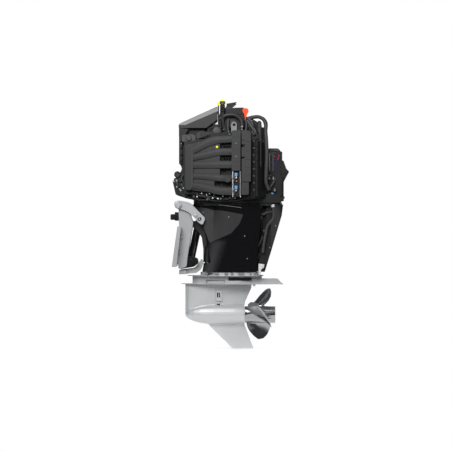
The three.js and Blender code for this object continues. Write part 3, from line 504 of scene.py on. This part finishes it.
def makeFloor():
    radius, height = studio["floorRadius"], cadBox[0][2] - studio["floorDrop"]
    mesh = bpy.data.meshes.new("floor")
    turns = [math.radians(k * 5) for k in range(72)]
    rim = [(view["aim"][0] + radius * math.cos(a), radius * math.sin(a), height) for a in turns]
    mesh.from_pydata(rim, [], [list(range(72))])
    floor = bpy.data.objects.new("floor", mesh)
    glow = studio["floorGlow"]
    paper = Finish("floorPaper", Roughness=0.9, Emission_Color=(1, 1, 1, 1), Emission_Strength=glow)
    tone = paper.noise(1.5, 3.0)
    paper.feed(Base_Color=paper.blend(tone, (0.93, 0.93, 0.93, 1), (0.96, 0.96, 0.96, 1)))
    mesh.materials.append(paper.material)
    bpy.context.scene.collection.objects.link(floor)
    bpy.context.scene.view_settings.view_transform = "Standard"


makeCamera()
makeStudio()
makeFloor()
print("studio ready")

outward = (0, -1, 0)  # away from the centre plane, on the port side
upward = (0, 0, 1)


# makes whatever solids a piece's dictionary lists
def assemble(batch, piece):
    for outline, depths, *corner in piece.get("plates", ()):
        sidePlate(batch, outline, *depths, *corner)
    for outline, heights, *corner in piece.get("decks", ()):
        deckPlate(batch, outline, *heights, *corner)
    for x, y, z in piece.get("boxes", ()):
        box(batch, *x, *y, *z)
    for profile, at, direction, *count in piece.get("turned", ()):
        turn(batch, profile, at, direction, *count)
    for route, radius, *counts in piece.get("tubes", ()):
        tube(batch, route, radius, *counts)
    for start, end, radius, *count in piece.get("rods", ()):
        rod(batch, start, end, radius, *count)
    for at, radius in piece.get("bolts", ()):
        hexBolt(batch, at, outward, radius)


# one side's solids and their mirror image
def bothSides(name, piece, finish, build=assemble, replaces=None, bevel=0.0, body="motor"):
    batch = Batch()
    build(batch, piece)
    for side, batchSide in (("port", batch), ("starboard", batch.mirrored())):
        nodes = [f"{side}_{replaces}"] if replaces else ()
        solidOf(f"{side}_{name}", batchSide, body, finish, nodes, bevel)


def single(name, piece, finish, build=assemble, replaces=(), bevel=0.0, body="motor"):
    batch = Batch()
    build(batch, piece)
    solidOf(name, batch, body, finish, replaces, bevel)


# transom clamp, swivel and trim unit
for side in sides:
    refined(side + "_clamp_bracket", "clamp", bracketGrey, 2.2 * mm)
refined("swivel_bracket", "swivel", swivelPaint, 1.6 * mm)
refined("tilt_tube", "clamp", plainSteel, 0.8 * mm)
refined("trim_manifold", "clamp", trimBlack, 1.5 * mm)
refined("trim_pump_motor", "clamp", trimBlack)
refined("trim_fluid_reservoir", "clamp", trimBlack)
refined("lower_tie_casting", "clamp", bracketGrey, 2.5 * mm)
refined("steering_hydraulic_block", "clamp", trimBlack, 1.5 * mm)
refined("trim_ram_barrel", "trim_barrel", trimBlack, 1.5 * mm)

transomBolts = {"bolts": [((46, -114, 62), 11), ((38, -114, -40), 11)]}
manifoldFittings = {"centre": (101, -66, -113), "circle": 20, "count": 7, "firstAngle": 100,
                    "stepAngle": 40,
                    "circleBolt": 3.6, "corners": [(62, -86), (66, -134), (118, -126), (138, -96)],
                    "cornerDepth": -64, "cornerBolt": 4.2}
# the starboard arm stays plain, as the tilt lock lever swings past it
armBosses = {"turned": [([(0, 25), (3, 25), (4.5, 22), (4.5, 9), (2, 8)], (24, -133, 279), outward),
                        ([(0, 13), (3, 13), (4, 11)], (140, -133, 206), outward)]}
# black discs: painted shade standing in for the dark bore at the tilt pivot and the dark recess round the
# arm bolt
armHoleShade = {"turned": [([(0, 7.5), (5.4, 7.5)], (24, -133, 279), outward, 24),
                       ([(0, 13), (4, 13), (5, 11)], (164, -133, 184), outward, 24)]}
armBolts = {"turned": [([(0, 6), (6.5, 6), (8, 4)], (164, -133, 184), outward, 20)]}


def buildManifoldFittings(batch, fittings):
    x, y, z = fittings["centre"]
    for k in range(fittings["count"]):
        a = math.radians(fittings["firstAngle"] + fittings["stepAngle"] * k)
        at = (x + fittings["circle"] * math.cos(a), y, z + fittings["circle"] * math.sin(a))
        hexBolt(batch, at, outward, fittings["circleBolt"])
    for u, v in fittings["corners"]:
        hexBolt(batch, (u, fittings["cornerDepth"], v), outward, fittings["cornerBolt"])


bothSides("transom_bolts", transomBolts, bracketGrey, body="clamp")
bothSides("manifold_fittings", manifoldFittings, brightSteel, buildManifoldFittings,
          body="clamp")
single("port_arm_bosses", armBosses, bracketGrey, body="swivel")
bothSides("arm_hole_shade", armHoleShade, trimBlack, body="swivel")
bothSides("arm_bolts", armBolts, brightSteel, body="swivel")
print("clamp done")

# leg
for side in sides:
    refined(side + "_side_cover", "motor", coverBlack, 1.5 * mm)
    refined(side + "_side_panel", "motor", matteCharcoal, 1.5 * mm)
    refined(side + "_water_inlet", "motor", gearcaseGrey, 0.4 * mm)
refined("rear_leg_cover", "motor", castBlack, 1.5 * mm)
refined("driveshaft_housing", "motor", castBlack, 1.5 * mm)

gasket = {"decks": [([(124, -60), (150, -110), (200, -132), (600, -132), (690, -88), (690, 88),
                      (600, 132), (200, 132), (150, 110), (124, 60)], (272, 304), 6)]}
innerDuct = {
    "plates": [([(520, 288), (708, 300), (684, 170), (640, 40), (598, -166), (520, -166)], (-66, 66),
                14)],
    "turned": [([(0, r), (14, r), (17, r - 5)], (x, -64, z), outward)
               for x, z, r in ((560, 190, 26), (600, 96, 20), (556, -60, 22))]}
flushHose = {
    "tubes": [([(650, -112, 282), (656, -112, 232), (654, -112, 190), (630, -112, 158), (612, -112, 128),
                (602, -112, 78), (592, -112, 20), (584, -112, -40)], 9.5, 16, 6)],
    "turned": [([(0, 11.5), (9, 11.5)], (x, -112, z), upward, 24)
               for x, z in ((603, 80), (586, -26), (654, 192))]}
hoseClamp = {"turned": [([(0, 12), (3, 13), (18, 13), (20, 11)], (652, -112, 262), (-0.1, 0, 1), 24)]}
legPipes = {"tubes": [([(584, -96, 66), (566, -98, 26), (543, -98, -12)], 6),
                      ([(548, -86, 232), (580, -92, 214), (612, -92, 226), (652, -88, 232)], 9),
                      ([(520, -96, 262), (546, -98, 246), (552, -96, 214), (575, -92, 190)], 7)]}
lowerBracket = {
    "plates": [([(556, -113), (596, -117), (592, -140), (574, -150), (572, -186), (556, -186)],
                (-104, -84), 4)],
    "bolts": [((582, -104, -128), 6)]}
rimStrip = {"tubes": [([(294, -153, 277), (400, -151, 264), (496, -140, 249), (507, -138, 234),
                        (509, -138, 219)], 1.6, 8)]}

single("leg_gasket", gasket, castBlack, bevel=1 * mm)
for node, bevel in (("adapter_plate", 1.2), ("upper_yoke", 2.0), ("lower_yoke", 2.0)):
    refined(node, "motor", castBlack, bevel * mm)
single("leg_inner_duct", innerDuct, castBlack, bevel=2 * mm)
single("flush_hose_tube", flushHose, hoseRubber, replaces=["flush_hose"])
single("flush_hose_clamp", hoseClamp, paleMetal)
bothSides("leg_pipes", legPipes, enginePlastic)
single("lower_bracket", lowerBracket, paleMetal, bevel=1 * mm)
bothSides("rim_strip", rimStrip, eyeGrey)
print("leg done")

# gearcase and splash plates; the gearcase skin is remeshed evenly, then relaxed
gearcaseSkin = {"voxel": 3.0 * mm, "relax": 0.5, "passes": 6}
# black plate stands in for the shaded opening of the exhaust slot: painted shade
exhaustSlotShade = {"plates": [([(356, -227), (511, -227), (511, -208), (356, -208)], (-64, -58), 4)]}
recess = {"x": (208, 330), "y": (-63.6, -60), "z": (-248, -224), "line": 2}
plateRecesses = {"boxes": [((x, x + width), (-105.5, -100), (-186, -176)) for x, width in (
    (205, 14), (262, 30), (330, 22), (372, 16), (420, 40), (498, 12), (540, 10))]}
anode = {"turned": [([(0, 9), (5, 9), (7, 6)], (528, -50, -258), outward, 20)]}
# black plates stand in for the shaded openings of the water inlet slots: painted shade
inletSlotShade = {"plates": [([(x - 3, -340), (x + 3, -340), (x + 3, -308), (x - 3, -308)], (-36.4, -33), 2)
                         for x in (283, 297)]}


def buildGearcase(skin):
    piece = refined("gearcase", "motor", gearcaseGrey, 0)
    piece.modifiers.clear()
    remesh = piece.modifiers.new("even", "REMESH")
    remesh.mode = "VOXEL"
    remesh.voxel_size = skin["voxel"]
    remesh.use_smooth_shade = True
    relax = piece.modifiers.new("relax", "SMOOTH")
    relax.factor = skin["relax"]
    relax.iterations = skin["passes"]


def buildRecess(batch, outline):
    (x0, x1), y, (z0, z1), line = outline["x"], outline["y"], outline["z"], outline["line"]
    edges = (((x0, x1), (z1 - line, z1)), ((x0, x0 + line), (z0, z1)),
             ((x1 - line, x1), (z0, z1)), ((x0, x1), (z0, z0 + line)))
    assemble(batch, {"boxes": [(x, y, z) for x, z in edges]})


refined("upper_gearcase", "motor", gearcaseGrey, 2.0 * mm)
refined("splash_plate", "motor", gearcaseGrey, 1.5 * mm)
refined("bearing_carrier", "motor", gearcaseGrey, 0.8 * mm)
buildGearcase(gearcaseSkin)
bothSides("inlet_slot_shade", inletSlotShade, glossBlack)
bothSides("exhaust_slot_shade", exhaustSlotShade, castBlack)
bothSides("recess_outline", recess, castBlack, buildRecess)
bothSides("splash_recesses", plateRecesses, eyeGrey, bevel=0.6 * mm)
bothSides("plate_anode", anode, plainSteel)
print("gearcase done")

# propeller
refined("propeller", "prop", propellerSteel, 0.4 * mm)
refined("propeller_nut", "prop", plainSteel, 0.6 * mm)
print("propeller done")

# powerhead castings
for node, bevel in (("cylinder_block", 2), ("throttle_body", 1), ("fuel_vapour_separator", 2),
                    ("rear_cowl_support", 2)):
    refined(node, "motor", castBlack, bevel * mm)
refined("lifting_eye", "motor", eyeGrey, 1 * mm)
refined("oil_filler_neck", "motor", castBlack, 1 * mm)
refined("oil_filler_cap", "oil_cap", yellowPlastic, 1 * mm)

capGrip = {"centre": (317, -138), "bottom": 945, "profile": [(0, 17.6), (17, 17.6), (18.5, 16)],
           "grips": 20, "gripCircle": 17.4, "gripRadius": 1.2, "gripHeights": (946, 961)}
fillerSleeve = {"turned": [([(0, 14), (4, 16.2), (50, 16.2), (52, 14)], (317, -138, 890), upward, 40),
                           ([(0, 17.5), (8, 17.5)], (317, -138, 898), upward, 40)]}


def buildCapGrip(batch, grip):
    (cx, cy), (low, high) = grip["centre"], grip["gripHeights"]
    turn(batch, grip["profile"], (cx, cy, grip["bottom"]), upward, 40)
    for k in range(grip["grips"]):
        a = 2 * math.pi * k / grip["grips"]
        x, y = cx + grip["gripCircle"] * math.cos(a), cy + grip["gripCircle"] * math.sin(a)
        rod(batch, (x, y, low), (x, y, high), grip["gripRadius"], 8)


single("oil_cap_grip", capGrip, castBlack, buildCapGrip, body="oil_cap")
single("filler_sleeve", fillerSleeve, castBlack)
for side in sides:
    refined(side + "_cylinder_head", "motor", castBlack, 1.5 * mm)
    refined(side + "_cam_cover", "motor", castBlack, 2 * mm)
refined("top_cover", "motor", enginePlastic, 3 * mm)
refined("rear_top_cover", "motor", enginePlastic, 3 * mm)
refined("fuse_box", "motor", lightPlastic, 2 * mm)

# intake side: each runner's heights and depths of section at the stations, from log to column
intake = {
    "stations": [96, 150, 215, 265, 306, 400],
    "runners": [([622, 650, 684, 700, 706, 710], [54, 58, 62, 56, 50, 50]),
                ([586, 594, 608, 620, 625, 626], [44, 46, 52, 52, 50, 50]),
                ([538, 539, 540, 541, 541, 541], [46, 48, 50, 52, 52, 52]),
                ([468, 467, 462, 456, 452, 450], [38, 40, 44, 46, 46, 46]),
                ([408, 402, 388, 375, 367, 365], [44, 48, 54, 54, 52, 52])],
    "middle": -226, "halfDepth": 19, "swell": 6, "sides": 28,
    "ridges": (-0.26, 0.02, 0.3, 0.44), "ridgeAt": -243.8, "ridgeRadius": 1.8,
    "plates": [
        ([(72, 376), (104, 372), (124, 400), (124, 668), (104, 676), (72, 670)], (-246, -166), 6),
        ([(100, 376), (264, 352), (264, 430), (300, 470), (300, 690), (264, 716), (200, 700), (100, 672)],
         (-229, -200), 4),
        ([(76, 380), (83, 380), (83, 668), (76, 668)], (-251, -244), 2),
        ([(96, 380), (103, 380), (103, 668), (96, 668)], (-251, -244), 2)],
    "turned": [([(0, 25), (6, 25), (9, 22), (9.5, 16), (6, 15)], (350, -244, 448), outward)]}
intakeBack = {"plates": [([(62, 350), (420, 336), (440, 470), (440, 748), (250, 752), (120, 700),
                           (62, 690)],
                          (-196, -150), 8)]}
gapBolts = {"gaps": [(268, 318, 655), (322, 372, 657), (268, 316, 576), (322, 374, 577), (114, 150, 503),
                     (268, 300, 500), (305, 342, 501), (268, 310, 416), (318, 372, 412)],
            "perGap": 3, "widthShare": 4.2, "y": (-203, -196), "halfHeight": 7}
columnCover = {"plates": [([(377, 500), (435, 500), (436, 758), (430, 768), (378, 764)], (-254, -200),
                           5)],
               "boxes": [((379, 433), (-255.2, -253), (z, z + 1.6)) for z in (526, 560, 636, 720)]}
fuelRails = {"rods": [((x, -240, 326), (x, -240, 500), 4.5) for x in (384, 434)],
             "turned": [*[([(0, 9), (10, 9), (12, 7), (18, 7)], (406, -236, z), upward, 20)
                          for z in (450, 366)],
                        ([(0, 4.5), (3, 4)], (409, -240, 432), outward, 12)]}
railBack = {"boxes": [((378, 438), (-230, -212), (330, 500))]}
injectors = {"plates": [([(397, z - 10), (415, z - 10), (415, z + 12), (397, z + 12)], (-252, -232), 3)
                        for z in (474, 390)]}
levelMark = {"turned": [([(0, 8), (5, 8), (7, 6)], (281, -226, 657), outward, 20)]}
coilCover = {
    "plates": [([(442, 428), (503, 428), (505, 700), (500, 752), (486, 764), (442, 764), (442, 670),
                 (452, 668), (452, 656), (442, 654), (442, 592), (452, 590), (452, 580), (442, 578)],
                 (-258, -222)),
               ([(441, 342), (484, 342), (490, 352), (490, 424), (441, 424)], (-254, -222), 4)],
    "boxes": [*[((462, 500), (-259.4, -257), (z, z + 2)) for z in (468, 520, 572, 628, 690)],
              ((452, 476), (-256, -253), (374, 392))]}
coilNotches = {"boxes": [((441, 464), (-259.5, -256), z)
                         for z in ((668, 673), (658, 663), (584, 592), (700, 702))]}
ignitionRow = {"count": 9, "first": 372, "step": 46, "stagger": 2, "plugRise": 20,
               "boot": [(0, 11), (16, 11), (20, 8)], "bootAt": (524, -224),
               "plug": [(0, 5), (26, 5), (30, 3)], "plugAt": (544, -214),
               "plates": [([(505, 350), (556, 350), (556, 742), (505, 752)], (-226, -190), 4)]}
ignitionMarks = {"turned": [([(0, 3.2), (3, 2.8)], (x, -245, z), outward, 12) for x, z in (
    (522, 462), (524, 556), (520, 590), (534, 512), (518, 648), (536, 668))]}


def softSquare(c, s):
    grow = 1.0 / max(abs(c), abs(s)) ** 0.72
    return c * grow, s * grow


def buildIntake(batch, intake):
    swell = intake["swell"]
    for centres, depths in intake["runners"]:
        line = smoothPath(list(zip(intake["stations"], depths, centres)), 4)
        loops = []
        for i, (x, high, z) in enumerate(line):
            bulge = swell * math.sin(math.pi * i / (len(line) - 1))
            loop = []
            for k in range(intake["sides"]):
                a = 2 * math.pi * (k + 0.5) / intake["sides"]
                c, s = softSquare(math.cos(a), math.sin(a))
                loop.append((x, intake["middle"] + intake["halfDepth"] * c + bulge, z + s * high / 2))
            loops.append(loop)
        stack(batch, loops)
        for share in intake["ridges"]:
            ridge = []
            for i, (x, high, z) in enumerate(line[1:-1]):
                bulge = swell * math.sin(math.pi * (i + 1) / (len(line) - 1))
                ridge.append((x, intake["ridgeAt"] + bulge, z + share * high * 0.9))
            tube(batch, ridge, intake["ridgeRadius"], 6, 1)
    assemble(batch, intake)


def buildGapBolts(batch, bolts):
    for x0, x1, z in bolts["gaps"]:
        for k in range(bolts["perGap"]):
            x = x0 + (x1 - x0) * k / bolts["perGap"]
            width = (x1 - x0) / bolts["widthShare"]
            box(batch, x, x + width, *bolts["y"], z - bolts["halfHeight"], z + bolts["halfHeight"])


def buildIgnitionRow(batch, row):
    for k in range(row["count"]):
        z = row["first"] + row["step"] * k
        x, y = row["bootAt"]
        turn(batch, row["boot"], (x, y + row["stagger"] * (k % 2), z), (0, -1, 0.1), 18)
        turn(batch, row["plug"], (*row["plugAt"], z + row["plugRise"]), (0, -1, -0.2), 12)
    assemble(batch, row)


bothSides("intake_runners", intake, enginePlastic, buildIntake, "intake_manifold",
          0.8 * mm)
bothSides("intake_back", intakeBack, castBlack, bevel=2 * mm)
bothSides("runner_bolts", gapBolts, glossBlack, buildGapBolts, bevel=0.8 * mm)
bothSides("level_mark", levelMark, yellowPlastic)
bothSides("column_cover", columnCover, enginePlastic, bevel=1.5 * mm)
bothSides("fuel_rails", fuelRails, plainSteel)
bothSides("rail_back", railBack, castBlack, bevel=1 * mm)
bothSides("fuel_injectors", injectors, bluePlastic, bevel=1 * mm)
bothSides("coil_cover", coilCover, enginePlastic, bevel=1.6 * mm)
bothSides("coil_notches", coilNotches, glossBlack)
bothSides("ignition_row", ignitionRow, castBlack, buildIgnitionRow, bevel=0.8 * mm)
bothSides("ignition_marks", ignitionMarks, dullRed)
print("intake side done")

# top of the engine
topRibs = {"count": 6, "first": -146, "step": 3.4, "radius": 1.5,
           "line": [(34, 815), (160, 872), (284, 925)]}
topFront = {"plates": [([(28, 730), (62, 726), (92, 780), (28, 786)], (-146, -40), 5),
                       ([(29, 548), (50, 548), (50, 742), (29, 742)], (-150, -110), 4)],
            "turned": [([(0, 9), (10, 9), (12, 7)], (40, -148, z), outward, 18)
                       for z in (572, 612, 656, 700)]}
topFill = {"plates": [
    ([(60, 716), (250, 716), (250, 842), (200, 812), (60, 812)], (-104, 104), 8),
    ([(215, 740), (300, 740), (300, 812), (262, 812), (215, 783)], (-125, 125), 3),
    ([(284, 760), (330, 760), (330, 900), (303, 900), (294, 872)], (-132, 132), 5),
    ([(400, 760), (476, 760), (476, 870), (400, 880)], (-118, 118), 8),
    ([(452, 700), (606, 700), (600, 790), (566, 796), (550, 828), (520, 846), (484, 852), (452, 850)],
     (-112, 112), 10)]}
topBand = {"plates": [([(29, 806), (29, 812), (288, 927), (288, 898), (72, 806)], (-151.5, -148))]}
airBox = {"plates": [([(48, 692), (138, 692), (142, 732), (120, 744), (48, 738)], (-190, -60), 7)],
          "turned": [([(0, 20), (8, 20), (12, 15)], (94, -188, 716), outward)]}
ribbedBox = {"plates": [([(146, 706), (238, 714), (238, 756), (171, 762), (146, 750)], (-196, -70), 5),
                        *[([(x, 716), (x + 4, 716), (x + 4, 756), (x, 756)], (-200, -194))
                          for x in range(172, 242, 10)]]}
idlerDisc = {"turned": [([(0, 27), (5, 27), (8, 24), (9, 20), (9, 2)], (279, -176, 765), outward, 40),
                        ([(0, 10), (60, 10)], (279, -116, 765), outward, 20)]}
shroud = {"turned": [([(0, 136), (4, 139), (56, 139), (66, 128), (68, 60)], (290, 0, 724), upward, 64)],
          "boxes": [((134, 470), (-150, 150), (706, 760))]}
upperPipes = {"tubes": [([(300, -132, 848), (340, -140, 870), (389, -144, 874), (426, -144, 856),
                          (444, -144, 826), (448, -144, 790)], 14),
                        ([(318, -136, 842), (330, -138, 800), (340, -138, 762)], 8),
                        ([(356, -120, 850), (352, -126, 800), (356, -130, 756)], 10),
                        ([(470, -110, 860), (476, -120, 806), (470, -128, 760)], 12)]}
fin = {"plates": [([(344, 950), (411, 961), (402, 950), (352, 914), (344, 918)], (-108, -60), 2),
                  ([(346, 914), (440, 922), (462, 916), (462, 880), (330, 880)], (-122, -60), 6)]}
handle = {"plates": [([(449, 912), (456, 918), (480, 918), (489, 908), (489, 892), (480, 880), (474, 852),
                       (466, 849), (461, 880), (450, 894)], (-132, -112), 6)],
          "rods": [((468, -122, 842), (468, -122, 856), 4)]}
silverFittings = {"turned": [
    *[([(0, r), (5, r), (6, r * 0.7), (10, r * 0.7)], (x, -150, z), (0, -1, 0.3), 6) for x, z, r in (
        (446, 793, 8), (446, 775, 6), (484, 825, 5), (490, 796, 4), (506, 820, 4), (262, 744, 4))],
    ([(0, 8), (3, 8), (4, 6), (9, 6)], (199, -206, 684), outward, 20)]}
diagonalPipe = {"tubes": [([(480, -176, 836), (520, -186, 776), (573, -188, 700)], 10),
                          ([(488, -150, 850), (512, -160, 820), (520, -164, 776), (512, -170, 744)], 9)]}
rearHose = {"rods": [((560, -196, 530), (560, -196, 818), 14.5, 28)],
            "turned": [([(0, 14.5), (6, 12.5), (11, 8), (13, 2)], (560, -196, 818), upward, 28),
                       *[([(0, 16.5), (9, 16.5)], (560, -196, z), upward, 28) for z in (548, 790)]]}
ventHose = {"tubes": [([(486, -124, 848), (520, -128, 858), (556, -132, 860), (588, -140, 844),
                        (603, -152, 812), (602, -166, 764), (607, -177, 700), (610, -178, 600),
                        (606, -178, 500), (604, -178, 430), (616, -170, 394), (626, -160, 380)],
                        lambda t: 14.0 - 2.0 * abs(math.sin(t * 9)), 16, 5)]}
dipstickTube = {"tubes": [([(290, -138, 936), (290, -138, 842), (290, -138, 700)], 4.5, 12, 2)]}
dipstick = {"turned": [([(0, 4), (3, 5.5), (20, 5.5), (25, 4)], (289, -138, 934), upward, 20)],
            "rods": [((289, -138, 352), (289, -138, 936), 2, 10)]}


def buildTopRibs(batch, ribs):
    (x0, z0), *rest = ribs["line"]
    for k in range(ribs["count"]):
        y = ribs["first"] + ribs["step"] * k
        tube(batch, [(x0, y, z0 - k), *[(x, y, z) for x, z in rest]], ribs["radius"], 6, 2)


bothSides("top_ribs", topRibs, bandGrey, buildTopRibs)
bothSides("top_band", topBand, bandGrey, bevel=0.8 * mm)
single("top_fill", topFill, castBlack, bevel=2 * mm)
bothSides("top_front", topFront, castBlack, bevel=1.5 * mm)
bothSides("air_box", airBox, lightPlastic, bevel=3 * mm)
bothSides("ribbed_box", ribbedBox, enginePlastic, bevel=1 * mm)
bothSides("idler_disc", idlerDisc, lightPlastic)
single("flywheel_shroud", shroud, castBlack, bevel=2 * mm)
bothSides("upper_pipes", upperPipes, enginePlastic)
bothSides("fin", fin, castBlack, bevel=1 * mm)
single("release_handle", handle, orangePlastic, bevel=2 * mm)
bothSides("silver_fittings", silverFittings, eyeGrey)
bothSides("diagonal_pipe", diagonalPipe, lightPlastic)
bothSides("rear_hose", rearHose, enginePlastic)
single("vent_hose_tube", ventHose, hoseRubber, replaces=["vent_hose"])
single("dipstick_handle", dipstick, yellowPlastic, replaces=["dipstick"],
       body="dipstick")
single("dipstick_tube", dipstickTube, castBlack)
print("top done")

# rear electrics and the tray round the block's foot
engineTray = {"plates": [
    ([(128, 302), (160, 290), (420, 288), (700, 292), (728, 318), (640, 352), (420, 340), (150, 340),
      (96, 372), (90, 350)], (-146, 146), 6),
    ([(500, 330), (712, 330), (716, 470), (660, 500), (500, 520)], (-112, 112), 12)]}
fuseFittings = {"rods": [((629, -100, 465), (629, -100, 619), 4.5)],
                "turned": [([(0, 7), (8, 7), (10, 5), (18, 5)], (x, -132, z), upward, 16) for x, z in (
                    (626, 445), (654, 445), (596, 345), (663, 367), (648, 324), (597, 324))]}
fuseWires = {"count": 14, "first": 470, "step": 10.6, "x": 668, "sway": 3, "radius": 2.0}
fuseStrip = {"boxes": [((643, 659), (-97, -90), (468, 613)),
                       *[((646, 656), (-98.6, -96), (z, z + 8)) for z in range(474, 609, 15)]]}
fusePanel = {"plates": [([(655, 468), (702, 462), (714, 480), (714, 630), (690, 640), (655, 616)],
                         (-94, -84), 5)],
             "boxes": [((696, 710), (-97, -92), (z, z + 16)) for z in range(480, 624, 24)]}
fuseMarks = {"turned": [([(0, 5.5), (5, 5)], (x, -97, z), outward, 14)
                        for x, z in ((685, 580), (692, 606), (690, 592), (664, 600))]}
connectors = {"plates": [([(x - 9, z - 13), (x + 8, z - 11), (x + 9, z + 10), (x - 6, z + 13)],
                          (-142, -112), 3)
                         for x, z in ((580, 396), (645, 346))]}
wiringLoom = {"tubes": [
    ([(506, -120, 330), (548, -132, 372), (596, -130, 366), (640, -126, 404), (668, -116, 452)], 8),
    ([(520, -118, 456), (560, -130, 440), (600, -128, 470), (640, -110, 470)], 10),
    ([(540, -122, 306), (590, -134, 322), (640, -128, 306), (700, -110, 318)], 9),
    ([(560, -126, 400), (578, -136, 352), (574, -130, 306), (566, -112, 262)], 11)]}
rearEdge = {"plates": [([(718, 470), (738, 510), (748, 512), (756, 498), (756, 486), (730, 474)],
                        (-92, -60), 3)],
            "bolts": [((x, -94, z), 6) for x, z in ((730, 492), (746, 496), (722, 326), (704, 286))]}
frontCluster = {
    "turned": [([(0, r), (12, r), (16, r - 4), (17, r - 8), (10, r - 9)], (x, -126, z), outward, 24)
               for x, z, r in ((18, 478, 22), (36, 440, 15), (8, 424, 13), (52, 402, 18), (22, 392, 12),
                               (74, 352, 16), (44, 356, 13), (92, 330, 12))],
    "tubes": [([(0, -134, 452), (20, -144, 410), (30, -140, 372), (70, -136, 330)], 8),
              ([(60, -134, 480), (44, -144, 450), (60, -146, 420), (66, -140, 372)], 7)]}
frontBolts = {"bolts": [((x, -144, z), 4.5)
                        for x, z in ((-8, 432), (16, 396), (30, 380), (38, 374), (12, 436), (60, 388))]}
footFittings = {
    "seed": 11, "count": 34, "start": 128, "step": 8.2, "shift": (-3, 3), "base": 322, "rise": (-14, 26),
    "radii": (5, 11), "face": -146, "depths": (0, 60), "lean": (-0.3, 0.3),
    "tubes": [([(116, -170, 352), (180, -196, 334), (260, -200, 328), (330, -196, 318),
                (392, -186, 322)], 8),
              ([(132, -160, 316), (220, -178, 308), (330, -176, 304), (440, -150, 312),
                (500, -140, 330)], 6)]}
footBolts = {"seed": 5, "face": -208, "shift": (-4, 4), "radii": (1.8, 3.2),
             "spots": [(149, 330), (210, 342), (252, 322), (319, 334), (344, 316), (367, 326), (386, 350),
                       (178, 352), (232, 348), (286, 318), (300, 346), (400, 322)]}


def buildFuseWires(batch, wires):
    for k in range(wires["count"]):
        z = wires["first"] + wires["step"] * k
        x = wires["x"] + (wires["sway"] if k % 2 else -wires["sway"])
        tube(batch, [(x - 5, -93, z), (x, -98, z + 3), (x + 5, -93, z + 6)], wires["radius"], 8, 3)


def buildFootFittings(batch, fittings):
    row = random.Random(fittings["seed"])
    for k in range(fittings["count"]):
        x = fittings["start"] + fittings["step"] * k + row.uniform(*fittings["shift"])
        z = fittings["base"] + row.uniform(*fittings["rise"]) - 0.02 * k
        r = row.uniform(*fittings["radii"])
        at = (x, fittings["face"] - row.uniform(*fittings["depths"]), z)
        turn(batch, [(0, r), (10, r), (13, r * 0.7)], at, (row.uniform(*fittings["lean"]), -1, 0.2), 14)
    assemble(batch, fittings)


def buildFootBolts(batch, bolts):
    row = random.Random(bolts["seed"])
    for x, z in bolts["spots"]:
        at = (x, bolts["face"] + row.uniform(*bolts["shift"]), z)
        hexBolt(batch, at, (0, -1, 0.1), row.uniform(*bolts["radii"]))


single("engine_tray", engineTray, castBlack, bevel=1.5 * mm)
bothSides("fuse_fittings", fuseFittings, eyeGrey)
bothSides("fuse_wires", fuseWires, wireBlue, buildFuseWires)
bothSides("fuse_strip", fuseStrip, lightPlastic, bevel=0.8 * mm)
bothSides("fuse_panel", fusePanel, castBlack, bevel=1 * mm)
bothSides("fuse_marks", fuseMarks, redPlastic)
bothSides("connectors", connectors, bluePlastic, bevel=1.5 * mm)
bothSides("wiring_loom", wiringLoom, hoseRubber)
bothSides("rear_edge", rearEdge, castBlack, bevel=1 * mm)
bothSides("front_cluster", frontCluster, enginePlastic)
bothSides("front_bolts", frontBolts, brightSteel)
bothSides("foot_fittings", footFittings, castBlack, buildFootFittings)
bothSides("foot_bolts", footBolts, paleMetal, buildFootBolts)
print("electrics done")

# small screws set on whatever surface lies under them
coverScrews = {"radius": 4.2, "head": 2.2, "sunk": 0.6,
               "spots": [(464, 71), (481, -79), (358, 197), (406, 680), (406, 594), (671, 138), (632, -7),
                         (705, 286), (188, 228), (237, 754), (43, 683), (324, 776), (363, 743),
                         (357, 761), (159, 682)]}


def setScrews(name, screws, finish):
    bpy.context.view_layer.update()
    graph = bpy.context.evaluated_depsgraph_get()
    radius, head = screws["radius"], screws["head"]
    for side, sign in sides.items():
        batch = Batch()
        for x, z in screws["spots"]:
            origin = Vector((x * mm, sign * 1.0, z * mm))
            hit, place, normal = bpy.context.scene.ray_cast(graph, origin, (0, -sign, 0))[:3]
            if hit:
                at = place / mm - normal * screws["sunk"]
                turn(batch, [(0, radius), (head - 0.6, radius), (head, radius * 0.8)], at, normal, 14)
        solidOf(f"{side}_{name}", batch, "motor", finish)


setScrews("cover_screws", coverScrews, eyeGrey)

# finish for the CAD pieces that stay as they are
stays = {"steel": plainSteel, "trim_black": trimBlack, "cast_black": castBlack,
         "propeller_steel": propellerSteel}
slotOf = {entry["node"]: entry["material_slot"] for entry in frame["record"]["subparts"]}
for node, thing in frame["nodes"].items():
    thing.data.materials.clear()
    thing.data.materials.append(stays.get(slotOf[node], castBlack).material)
